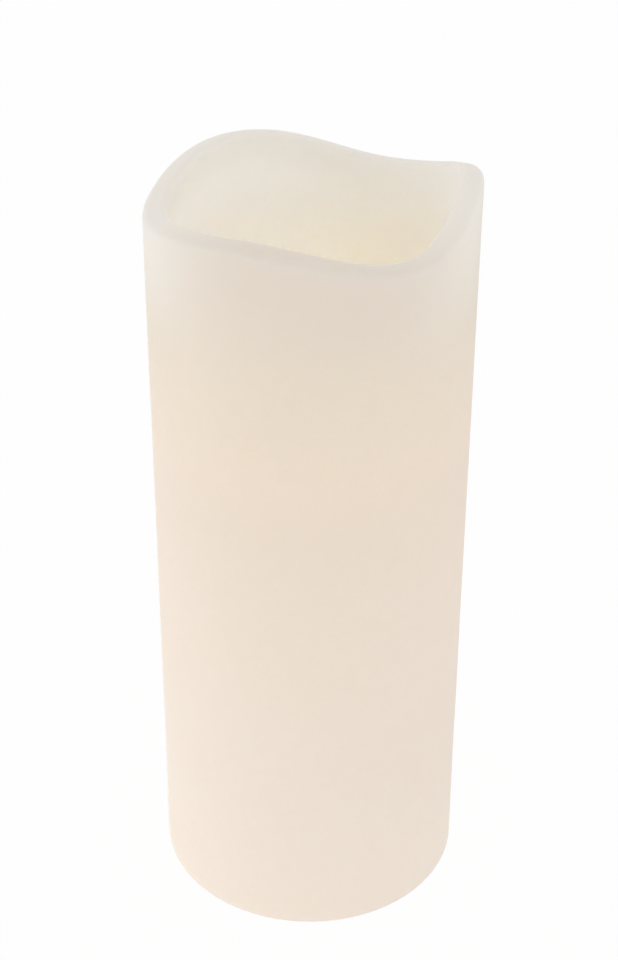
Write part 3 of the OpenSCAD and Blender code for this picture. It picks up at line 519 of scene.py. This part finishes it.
def moulded(name, colour, roughness, texture, spread=0.10):
    """Moulded plastic: faint flow marks, specks and a fine spark-worn texture."""
    plastic, make, place = new_finish(name, {"Specular IOR Level": 0.45})
    flow = noise(make, place, 38.0, 3.0)
    specks = noise(make, place, 1100.0)
    spark = noise(make, place, 3400.0)
    marks = flow * 0.7 + specks * 0.3
    feed(plastic, {
        "Base Color": blend(make, marks, tone(colour, 1 - spread), tone(colour, 1 + spread)),
        "Roughness": roughness + (specks - 0.5) * 0.14 + (flow - 0.5) * 0.10,
        "Normal": pitted(make, texture, 0.00006, spark),
    })
    return plastic


dress(tinned_lead, "led_leads")
dress(moulded("shrunk_sleeve", (0.035, 0.034, 0.036, 1), 0.5, 0.3, 0.3), "lead_sleeves")


# Holder and stem: a bush that fills the hole in the wax floor and grips the bulb, and the tube that
# lifts it there. Both are injection moulded, and pushed into each other.
dress(moulded("ivory_moulding", (0.83, 0.785, 0.70, 1), 0.5, 0.35), "led_holder")
core_moulding = moulded("core_moulding", (0.84, 0.84, 0.82, 1), 0.42, 0.15, 0.06)
dress(core_moulding, "led_stem")


# Wires: two stranded leads down the stem to the board, and two from the switch up the side of the
# battery housing. Each is a round skin of soft plastic that a node tree sweeps along its route.
def held_route(route, steps):
    """A smooth curve through a route, whose first and last stretches stay straight."""
    inner = np.array([route[1], *route[1:-1], route[-2]], dtype=float)
    curve = [route[0]]
    for p0, p1, p2, p3 in zip(inner, inner[1:], inner[2:], inner[3:]):
        square = 2 * p0 - 5 * p1 + 4 * p2 - p3
        cube = 3 * p1 - p0 - 3 * p2 + p3
        for t in np.linspace(0, 1, steps, endpoint=False):
            curve.append(p1 + ((p2 - p0) * t + square * t * t + cube * t ** 3) / 2)
    return [tuple(point) for point in (*curve, inner[-1], route[-1])]


WIRE_SIDES = 14
wire_tree, given, wire_inputs = new_tree("round_wire", {
    "Wire Radius": "Float", "Sides": "Int", "Skin": "Material",
})
make = Wire(wire_tree)
path = make.node("GeometryNodeMeshToCurve", None, {"Mesh": given["Start"]})
ring = make.node("GeometryNodeCurvePrimitiveCircle", None, {
    "Resolution": given["Sides"], "Radius": given["Wire Radius"],
})
tube = make.node("GeometryNodeCurveToMesh", None, {
    "Curve": path, "Profile Curve": ring, "Fill Caps": True,
})
end_tree(wire_tree, tube, given["Skin"])


def run_wire(points, radius, skin):
    """A round wire along points, as a mesh."""
    sizes = {"Wire Radius": radius, "Sides": WIRE_SIDES, "Skin": skin}
    links = [(n, n + 1) for n in range(len(points) - 1)]
    return bake(wire_tree, wire_inputs, sizes, points, links)


WIRE_R = 0.0006
LEAD_X = 0.00127
WIRE_TOP = 0.1099
WIRE_STRAIGHT = 0.010
WIRE_BOW = 0.0007
BOARD_Z = 0.0666
BOARD_TOP = 0.0676
BOARD_HOLE = (0.0026, -0.0024)
SWITCH_Y = -0.02675
TERMINAL_TIP = 0.014
TERMINAL_LEAD = 0.0025
TERMINAL_PITCH = 0.0026
SWITCH_CLIMB = (  # in millimetres, from the switch past the housing to under the board
    (3, -24.25, 23), (4.4, -17, 38), (5.2, -12.4, 50), (5.4, -11, 56.6), (5.4, -10.4, 61.6),
    (5.4, -8.8, 64.5), (5.2, -6.4, 64.6), (4, -3.8, 64.7), (2.6, -2.4, 65.8),
)

red_skin = moulded("red_wire_skin", (0.52, 0.045, 0.04, 1), 0.38, 0.12, 0.14)
black_skin = moulded("black_wire_skin", (0.045, 0.043, 0.045, 1), 0.38, 0.12, 0.2)
bow_start = WIRE_TOP - WIRE_STRAIGHT
bowed = bow_start - 4 * WIRE_R - BOARD_TOP
for side, pole, skin, slot in (
    (-1, "positive", red_skin, "red_insulation"),
    (1, "negative", black_skin, "black_insulation"),
):
    bow = [(side * LEAD_X, WIRE_BOW * math.sin(2 * math.pi * share), bow_start - bowed * share)
           for share in (0, 0.2, 0.4, 0.6, 0.8, 1)]
    route = [(side * LEAD_X, 0, WIRE_TOP), *bow, (side * LEAD_X, 0, BOARD_TOP)]
    wire_mesh = run_wire(held_route(route, 10), WIRE_R, skin)
    add_piece(f"led_lead_{pole}", wire_mesh, "candle", slot, f"led_wire_{pole}")
for side, way, x, skin, slot in (
    (-1, "left", 0.0, red_skin, "red_insulation"),
    (1, "right", TERMINAL_PITCH, black_skin, "black_insulation"),
):
    route = [(x, SWITCH_Y, TERMINAL_TIP), (x, SWITCH_Y, TERMINAL_TIP + TERMINAL_LEAD)]
    route += [(side * px / 1000, py / 1000, pz / 1000) for px, py, pz in SWITCH_CLIMB]
    route += [(side * BOARD_HOLE[0], BOARD_HOLE[1], BOARD_Z)]
    wire_mesh = run_wire(held_route(route, 8), WIRE_R, skin)
    add_piece(f"switch_lead_{way}", wire_mesh, "candle", slot, f"switch_wire_{way}")


# Core cap and battery housing: two white mouldings that screw together. The housing holds the cells
# side by side, and the cap covers the board and carries the stem in its socket.
dress(core_moulding, "core_cap", "battery_barrel")


# Board: a strip of glass epoxy under green lacquer, with copper tracks showing through it. On it
# sit the timer chip under its black drop, two chip resistors with tinned ends, and a capacitor in a
# striped sleeve. It stands on two posts, and the tabs of the contacts are soldered through it.
TRACKS = (  # in millimetres: the middle in x and y, half the length in x and half in y
    (-8.9, 1.1, 2.4, 0.35), (-3.9, -1.0, 2.7, 0.25), (1.2, 2.0, 2.4, 0.25), (1.2, -2.0, 2.4, 0.25),
    (9.0, 0.0, 2.2, 0.5), (5.9, 1.2, 0.25, 1.0), (-11.0, 0.0, 1.3, 2.3), (11.0, 0.0, 1.3, 2.3),
)
TRACK_EDGE = 0.00012
lacquer, make, place = new_finish("green_lacquer", {"Specular IOR Level": 0.5})
x, y = place.part(0), place.part(1)
tracks = 0.0
for track in TRACKS:
    middle_x, middle_y, half_x, half_y = (size / 1000 for size in track)
    in_x = make.math("ABSOLUTE", x - middle_x).fade(half_x, half_x + TRACK_EDGE)
    in_y = make.math("ABSOLUTE", y - middle_y).fade(half_y, half_y + TRACK_EDGE)
    tracks = make.math("MAXIMUM", in_y * in_x, tracks)
weave = noise(make, place, 900.0, 3.0)
feed(lacquer, {
    "Base Color": blend(
        make, tracks * 0.7 + weave * 0.3, (0.045, 0.22, 0.12, 1), (0.16, 0.42, 0.22, 1)),
    "Roughness": 0.34 + (weave - 0.5) * 0.2,
    "Normal": pitted(make, 0.4, 0.00004, tracks + weave * 0.15),
})
dress(lacquer, "control_board")
dress(moulded("chip_drop", (0.03, 0.03, 0.032, 1), 0.22, 0.08, 0.3), "control_chip")

RESISTOR_X = 0.0044
RESISTOR_BODY = 0.0006
RESISTOR_EDGE = 0.00006
ceramic, make, place = new_finish("resistor_ceramic", {})
off = make.math("ABSOLUTE", place.part(0) - RESISTOR_X)
ends = off.smooth(RESISTOR_BODY, RESISTOR_BODY + RESISTOR_EDGE)
specks = noise(make, place, 2400.0)
feed(ceramic, {
    "Base Color": blend(make, ends, (0.035, 0.036, 0.045, 1), (0.70, 0.70, 0.69, 1)),
    "Metallic": ends,
    "Roughness": 0.42 + (specks - 0.5) * 0.25 - ends * 0.1,
    "Normal": pitted(make, 0.2, 0.00005, specks),
})
dress(ceramic, "board_resistors")

CAPACITOR_X = 0.0074
CAPACITOR_TOP = BOARD_TOP + 0.004
BARE_TOP = (CAPACITOR_TOP - 0.00008, CAPACITOR_TOP - 0.00004)
BARE_R = (0.00118, 0.00124)
STRIPE_FROM = (0.00125, 0.0013)
VENT_SIDES = (0.00006, 0.00014)
sleeve, make, place = new_finish("capacitor_sleeve", {})
off_x, off_y = place.part(0) - CAPACITOR_X, place.part(1)
from_axis = make.math("SQRT", off_x * off_x + off_y * off_y)
bare = place.part(2).smooth(*BARE_TOP) * from_axis.fade(*BARE_R)
stripe = off_x.smooth(*STRIPE_FROM) * (1 - bare)
specks = noise(make, place, 1500.0)
vent = make.math("MINIMUM", make.math("ABSOLUTE", off_x), make.math("ABSOLUTE", off_y))
painted = blend(make, stripe, (0.07, 0.085, 0.26, 1), (0.58, 0.60, 0.66, 1))
feed(sleeve, {
    "Base Color": blend(make, bare, painted, (0.68, 0.68, 0.68, 1)),
    "Metallic": bare,
    "Roughness": 0.3 + (specks - 0.5) * 0.2,
    "Normal": pitted(make, 0.6, 0.00008, vent.smooth(*VENT_SIDES) * bare + specks * 0.05),
})
dress(sleeve, "board_capacitor")


# Solder: a shiny drop at each joint of the board, on the two contact tabs, the two wires of the
# bulb and, under the board, the two wires of the switch.
COPY_SEED = 7


def set_on_points(name, shape_mesh, points, finish, most_turn=math.pi):
    """Copies of one small shape on points, each turned its own way about Z, as a mesh."""
    model = bpy.data.objects.new(name + "_model", shape_mesh)
    bpy.context.scene.collection.objects.link(model)
    tree, given, inputs = new_tree(name, {
        "Shape": "Object", "Most Turn": "Float", "Seed": "Int", "Finish": "Material",
    })
    make = Wire(tree)
    shape = make.node("GeometryNodeObjectInfo", None, {
        "Object": given["Shape"], "As Instance": True,
    }, "Geometry")
    angle = make.node("FunctionNodeRandomValue", {"data_type": "FLOAT"}, {
        2: given["Most Turn"] * -1, 3: given["Most Turn"], 8: given["Seed"],
    }, 1)
    placed = make.node("GeometryNodeInstanceOnPoints", None, {
        "Points": given["Start"], "Instance": shape,
        "Rotation": make.node("ShaderNodeCombineXYZ", None, {2: angle}),
    })
    end_tree(tree, placed, given["Finish"])
    sizes = {"Shape": model, "Most Turn": most_turn, "Seed": COPY_SEED, "Finish": finish}
    mesh = bake(tree, inputs, sizes, points)
    bpy.data.objects.remove(model)
    return mesh


def both_sides(x, y, z):
    """Two points, left and right of the middle."""
    return [(side * x, y, z) for side in (-1, 1)]


DROP = (  # radius and height along the outline of a drop
    (0.0011, 0), (0.00098, 0.00008), (0.00086, 0.00024),
    (0.00078, 0.0005), (0.0007, 0.0008), (0, 0.00095),
)
TAB_DROP = ((0.0012, 0), (0.00105, 0.00012), (0.0008, 0.0004), (0.0004, 0.0006), (0, 0.00066))
DROP_SIDES = 28
TAB_X = 0.011
TAB_STRETCH = 1.9
TAB_TURN = 0.05

solder = plated("solder", (0.70, 0.70, 0.72, 1), 0.2, (1.0, 1.0, 1.0), 500.0)
tab_mesh = turned(TAB_DROP, DROP_SIDES)
for vertex in tab_mesh.vertices:
    vertex.co.y *= TAB_STRETCH
under_mesh = turned([(r, -z) for r, z in DROP], DROP_SIDES)
shape = bmesh.new()
for name, drop_mesh, points, most_turn in (
    ("wire_solder", turned(DROP, DROP_SIDES), both_sides(LEAD_X, 0, BOARD_TOP), math.pi),
    ("tab_solder", tab_mesh, both_sides(TAB_X, 0, BOARD_TOP), TAB_TURN),
    ("under_solder", under_mesh, both_sides(*BOARD_HOLE, BOARD_Z), math.pi),
):
    shape.from_mesh(set_on_points(name, drop_mesh, points, solder, most_turn))
solder_mesh = bpy.data.meshes.new("solder_joints")
shape.to_mesh(solder_mesh)
shape.free()
solder_mesh.materials.append(solder)
add_piece("solder_joints", solder_mesh, "candle", "switch_steel")


# Contacts and springs: stamped sheet with a nickel plating, two plates at the top of the wells and
# a bridge on the lid. The springs are cones of plated wire with a flat closed turn at their foot.
dress(plated("nickel_sheet", (0.70, 0.685, 0.65, 1), 0.27, (0.06, 1.0, 1.0)),
      "positive_contact", "negative_contact", "lid_bridge_contact")

SPRING_R = 0.004
SPRING_TIP_R = 0.0022
SPRING_WIRE_R = 0.00025
SPRING_L = 0.004
SPRING_TURNS = 3
TURN_STEPS = 24
WELL_X = 0.0082
BRIDGE_TOP = 0.0069
CONTACT_Z = 0.0616

nickel_wire = plated("nickel_wire", (0.68, 0.68, 0.67, 1), 0.25, (1.0, 1.0, 1.0), 900.0)
climb_steps = TURN_STEPS * SPRING_TURNS
coil = []
for n in range(-TURN_STEPS, climb_steps + TURN_STEPS // 2 + 1):
    share = min(max(n / climb_steps, 0), 1)
    turn = 2 * math.pi * n / TURN_STEPS
    radius = SPRING_R + (SPRING_TIP_R - SPRING_R) * share
    height = SPRING_WIRE_R + (SPRING_L - 2 * SPRING_WIRE_R) * share
    coil.append((radius * math.cos(turn), radius * math.sin(turn), height))
for name, body, up, x, z, node in (
    ("lid_coil", "lid", 1, -WELL_X, BRIDGE_TOP, "lid_spring"),
    ("negative_coil", "candle", -1, WELL_X, CONTACT_Z, "negative_spring"),
):
    points = [(x + px, up * py, z + up * pz) for px, py, pz in coil]
    add_piece(name, run_wire(points, SPRING_WIRE_R, nickel_wire), body, "spring_wire", node)


# Cells: two AA cells, one each way up. A plain slate sleeve is shrunk over the plated can, which
# shows at both ends.
LEFT_Z = 0.011
RIGHT_TOP = 0.0575
SLEEVE_FROM = (0.00035, 0.00045)
SLEEVE_ENDS = (0.0490, 0.0491)
BAND_FROM = (0.0432, 0.0433)
BAND_ENDS = (0.0446, 0.0447)
jacket, make, place = new_finish("cell_sleeve", {"Specular IOR Level": 0.5})
right = make.math("GREATER_THAN", place.part(0), 0.0)
along = right * (RIGHT_TOP - place.part(2)) + (1 - right) * (place.part(2) - LEFT_Z)
covered = along.smooth(*SLEEVE_FROM) * along.fade(*SLEEVE_ENDS)
band = along.smooth(*BAND_FROM) * along.fade(*BAND_ENDS)
cloud = noise(make, place, 120.0, 3.0)
drawn = make.node("ShaderNodeMapping", None, {"Vector": place, "Scale": (1.0, 1.0, 0.05)})
streak = noise(make, drawn, 1300.0)
slate = blend(make, cloud, (0.11, 0.16, 0.18, 1), (0.17, 0.23, 0.25, 1))
slate = blend(make, band, slate, (0.42, 0.46, 0.47, 1))
feed(jacket, {
    "Base Color": blend(make, covered, (0.68, 0.68, 0.67, 1), slate),
    "Metallic": 1 - covered,
    "Roughness": 0.26 + (streak - 0.5) * 0.16 + (cloud - 0.5) * 0.1,
    "Normal": pitted(make, 0.15, 0.00005, covered + streak * 0.4),
})
dress(jacket, "battery_left", "battery_right")


# Base plate and lid: ivory mouldings. The plate is pressed into the foot of the wax on its crush
# ribs, and the lid turns into it on three lugs. Their undersides are rubbed a little by tables.
UNDERSIDE = (0.0018, 0.0026)
RUB_FROM = (0.54, 0.72)
rubbed, make, place = new_finish("rubbed_moulding", {"Specular IOR Level": 0.45})
flow = noise(make, place, 30.0, 3.0)
specks = noise(make, place, 1100.0)
spark = noise(make, place, 3400.0)
strokes = make.node("ShaderNodeMapping", None, {
    "Vector": place, "Rotation": (0, 0, 0.6), "Scale": (0.12, 1.0, 1.0),
})
rub = place.part(2).fade(*UNDERSIDE) * noise(make, strokes, 420.0, 4.0).smooth(*RUB_FROM)
ivory = blend(make, flow * 0.7 + specks * 0.3, (0.76, 0.71, 0.62, 1), (0.88, 0.84, 0.76, 1))
feed(rubbed, {
    "Base Color": blend(make, rub * 0.55, ivory, (0.93, 0.91, 0.87, 1)),
    "Roughness": 0.5 + (specks - 0.5) * 0.14 + rub * 0.14,
    "Normal": pitted(make, 0.35, 0.00006, spark * (1 - rub * 0.6)),
})
dress(rubbed, "base_plate", "battery_lid")


# Slide switch: a tinned steel frame folded round a phenolic board with three brass terminals, and a
# black knob with grooves that reaches through the window of the base plate.
dress(plated("switch_tin", (0.66, 0.66, 0.67, 1), 0.32, (0.08, 1.0, 1.0)), "switch_frame")
dress(plated("terminal_tin", (0.74, 0.60, 0.33, 1), 0.3, (1.0, 1.0, 0.08)), "switch_terminals")
dress(moulded("phenolic_sheet", (0.40, 0.23, 0.10, 1), 0.45, 0.25, 0.25), "switch_block")
dress(moulded("knob_moulding", (0.06, 0.06, 0.062, 1), 0.45, 0.4, 0.25), "switch_knob")


# Screws: three hold the battery housing on the base, two hold its cap, and two small ones hold the
# switch. All are plated self-tapping screws with a pan head and a cross recess.
# Counts, and shares of a screw's own sizes, so that one rule makes both sizes of screw.
SCREW_SIDES = 40
THREAD_ROWS = 10  # in one pitch
THREAD_CORE = 0.74
THREAD_SHARP = 2.4
THREAD_RUNOUT = 0.6
POINT_SHARE = 0.45
POINT_TAPER = 1.2
HEAD_SIDE = ((0.94, 0.0), (1.0, 0.06), (1.0, 0.2), (0.97, 0.45))  # shares of radius and height
HEAD_TOP = np.linspace(0.93, 0, 17)
HEAD_DROP = 0.45
HEAD_CROWN = 2.4
CROSS_L = 0.56
CROSS_W = 0.13
CROSS_SOFT = 0.06
CROSS_REACH = 0.8
CROSS_DEEP = 0.62


def threaded_screw(shank_r, head_r, head_h, length, pitch):
    """One screw seated at height 0 with its head up, from a thread rule and a recess rule."""
    turns = np.linspace(0, 2 * math.pi, SCREW_SIDES, endpoint=False)
    rows = [[(0.0, 0.0, -length)] * SCREW_SIDES]
    for z in np.linspace(-length, 0, int(THREAD_ROWS * length / pitch)):
        row = []
        for turn in turns:
            saw = abs(2 * ((z / pitch - turn / (2 * math.pi)) % 1.0) - 1)
            crest = max(0.0, 1 - THREAD_SHARP * saw) * min(1.0, -z / (THREAD_RUNOUT * pitch))
            point = min(1.0, (z + length) / (POINT_TAPER * shank_r))
            r = shank_r * (THREAD_CORE + (1 - THREAD_CORE) * crest)
            r *= POINT_SHARE + (1 - POINT_SHARE) * point
            row.append((r * math.cos(turn), r * math.sin(turn), z))
        rows.append(row)
    arm_l, arm_w, soft = CROSS_L * head_r, CROSS_W * head_r, CROSS_SOFT * head_r
    head = [(across * head_r, up * head_h) for across, up in HEAD_SIDE]
    head += [(s * head_r, head_h * (1 - HEAD_DROP * s ** HEAD_CROWN)) for s in HEAD_TOP]
    for r, z in head:
        row = []
        for turn in turns:
            x, y = abs(r * math.cos(turn)), abs(r * math.sin(turn))
            gap = max(max(x, y) - arm_l, min(x, y) - arm_w, 0.0)
            sunk = max(0.0, 1 - gap / soft) if r < CROSS_REACH * head_r else 0.0
            low = CROSS_DEEP * head_h * sunk * (1 - 0.5 * min(1.0, r / arm_l))
            row.append((r * math.cos(turn), r * math.sin(turn), z - low))
        rows.append(row)
    points = [point for row in rows for point in row]
    faces = []
    for k in range(len(rows) - 1):
        near, far = k * SCREW_SIDES, (k + 1) * SCREW_SIDES
        for n in range(SCREW_SIDES):
            m = (n + 1) % SCREW_SIDES
            faces.append((near + n, near + m, far + m, far + n))
    mesh = bpy.data.meshes.new("threaded_screw")
    mesh.from_pydata(points, [], faces)
    return mesh


BASE_SCREW_R = 0.02675
BASE_SCREW_Z = 0.0102
BASE_SCREW_ANGLES = (90, 210, 330)
CAP_SCREW_Y = 0.007
CAP_SCREW_Z = 0.0652
SWITCH_SCREW_X = 0.0062
SWITCH_SCREW_Z = 0.0057

zinc = plated("zinc_plating", (0.64, 0.64, 0.63, 1), 0.3, (1.0, 1.0, 0.4), 800.0)
big_screw = threaded_screw(
    shank_r=0.0012, head_r=0.0023, head_h=0.0015, length=0.0059, pitch=0.0009)
small_screw = threaded_screw(
    shank_r=0.0008, head_r=0.0015, head_h=0.001, length=0.0023, pitch=0.0006)
base_points = [(BASE_SCREW_R * math.cos(math.radians(angle)),
                BASE_SCREW_R * math.sin(math.radians(angle)), BASE_SCREW_Z)
               for angle in BASE_SCREW_ANGLES]
cap_points = [(0, side * CAP_SCREW_Y, CAP_SCREW_Z) for side in (-1, 1)]
switch_points = both_sides(SWITCH_SCREW_X, SWITCH_Y, SWITCH_SCREW_Z)
for name, model, points, node in (
    ("base_screw_set", big_screw, base_points, "base_screws"),
    ("cap_screw_set", big_screw, cap_points, "cap_screws"),
    ("switch_screw_set", small_screw, switch_points, "switch_screws"),
):
    add_piece(name, set_on_points(name, model, points, zinc), "candle", "screw_steel", node)


# Studio: a white table that keeps a faint shadow and sends some light up at the foot, soft boxes at
# both sides and in front, and a white room that is dimmer overhead. The lens stands a little over
# the candle, and the small warm lamp is the light that the lit bulb throws.
def in_sight(tree):
    """1 for what the lens, a gloss or a glass sees, and 0 for what only lights."""
    make = Wire(tree)
    outputs = make.node("ShaderNodeLightPath").socket.node.outputs
    camera, glossy, glass = (
        Wire(tree, outputs[f"Is {ray} Ray"]) for ray in ("Camera", "Glossy", "Transmission"))
    return make.math("MAXIMUM", make.math("MAXIMUM", camera, glossy), glass)


def mix_light(make, share, low, high):
    """One shader mixed into another."""
    return make.node("ShaderNodeMixShader", None, {0: share, 1: low, 2: high})


WHITE = (1, 1, 1, 1)
TABLE_HALF = 4.0
TABLE_TONE = (0.94, 0.94, 0.94, 1)
TABLE_SEEN = 0.96  # share of plain white in what the lens sees of it
BOUNCE_LIGHT = 2.0
BOUNCE_NEAR = (0.06, 0.40, 0.23, 0.0)  # from, to, and the share of light at each
BOUNCE_LEFT = (-0.10, 0.12, 1.0, 0.12)
table_mesh = bpy.data.meshes.new("table")
corners = ((-1, -1), (1, -1), (1, 1), (-1, 1))
corners = [(x * TABLE_HALF, y * TABLE_HALF, 0) for x, y in corners]
table_mesh.from_pydata(corners, [], [(0, 1, 2, 3)])
table = bpy.data.objects.new("table", table_mesh)
bpy.context.scene.collection.objects.link(table)
table_paint = bpy.data.materials.new("white_table")
table_paint.use_nodes = True
tree = table_paint.node_tree
tree.nodes.remove(tree.nodes["Principled BSDF"])
make = Wire(tree)
matt = make.node("ShaderNodeBsdfDiffuse", None, {"Color": TABLE_TONE})
white = make.node("ShaderNodeEmission", None, {"Color": WHITE, "Strength": 1.0})
upward = make.node("ShaderNodeEmission", None, {"Color": WHITE, "Strength": BOUNCE_LIGHT})
place = make.node("ShaderNodeTexCoord", output="Object")
off = make.node("ShaderNodeVectorMath", {"operation": "LENGTH"}, {0: place}, "Value")
bounce_share = off.smooth(*BOUNCE_NEAR) * place.part(0).smooth(*BOUNCE_LEFT)
bounce = mix_light(make, bounce_share, matt, upward)
seen = mix_light(make, TABLE_SEEN, matt, white)
table_light = mix_light(make, in_sight(tree), bounce, seen)
tree.links.new(table_light.socket, tree.nodes["Material Output"].inputs["Surface"])
table_mesh.materials.append(table_paint)

WALLS_LIGHT = 0.98
CEILING_LIGHT = 0.65
world = bpy.data.worlds.new("white_room")
bpy.context.scene.world = world
world.use_nodes = True
tree = world.node_tree
make = Wire(tree)
walls, ceiling, backdrop = (
    make.node("ShaderNodeBackground", None, {"Color": WHITE, "Strength": strength})
    for strength in (WALLS_LIGHT, CEILING_LIGHT, 1.0))
overhead = make.node("ShaderNodeTexCoord", output="Generated").part(2).smooth(0.0, 1.0)
room = mix_light(make, in_sight(tree), mix_light(make, overhead, walls, ceiling), backdrop)
tree.links.new(room.socket, tree.nodes["World Output"].inputs["Surface"])

LAMP_AIM = Vector((0, 0, 0.1))
for name, spot, size, power in (
    ("left_softbox", Vector((-1.2, 0.25, 0.45)), 0.8, 1.5),
    ("right_softbox", Vector((1.1, 0.35, 0.75)), 0.8, 0.9),
    ("front_softbox", Vector((0.2, -1.4, 0.3)), 1.0, 0.8),
):
    lamp = bpy.data.lights.new(name, "AREA")
    lamp.size = size
    lamp.energy = power
    lamp_object = bpy.data.objects.new(name, lamp)
    lamp_object.location = spot
    lamp_object.rotation_euler = (LAMP_AIM - spot).to_track_quat("-Z", "Y").to_euler()
    bpy.context.scene.collection.objects.link(lamp_object)

GLOW_Z = 0.133
lamp = bpy.data.lights.new("bulb_glow", "POINT")
lamp.color = (1.0, 0.80, 0.49)
lamp.energy = 0.0069
lamp.shadow_soft_size = 0.004
lamp_object = bpy.data.objects.new("bulb_glow", lamp)
lamp_object.location = (0, 0, GLOW_Z)
bpy.context.scene.collection.objects.link(lamp_object)

LENS_MM = 72.957
LENS_SHIFT = -0.00194
LENS_ROLL = 0.00509
LENS_DISTANCE = 0.46549
LENS_ELEVATION = math.radians(32.230)
LENS_AIM = 0.10861
optics = bpy.data.cameras.new("lens")
optics.sensor_width = 36.0
optics.lens = LENS_MM
optics.shift_x = LENS_SHIFT
optics.clip_start = 0.01
camera = bpy.data.objects.new("lens", optics)
away = Vector((0, -math.cos(LENS_ELEVATION), math.sin(LENS_ELEVATION)))
camera.location = Vector((0, 0, LENS_AIM)) + LENS_DISTANCE * away
facing = (-away).to_track_quat("-Z", "Y").to_matrix() @ Matrix.Rotation(LENS_ROLL, 3, "Z")
camera.rotation_euler = facing.to_euler()
bpy.context.scene.collection.objects.link(camera)
bpy.context.scene.camera = camera
bpy.context.scene.view_settings.view_transform = "Standard"
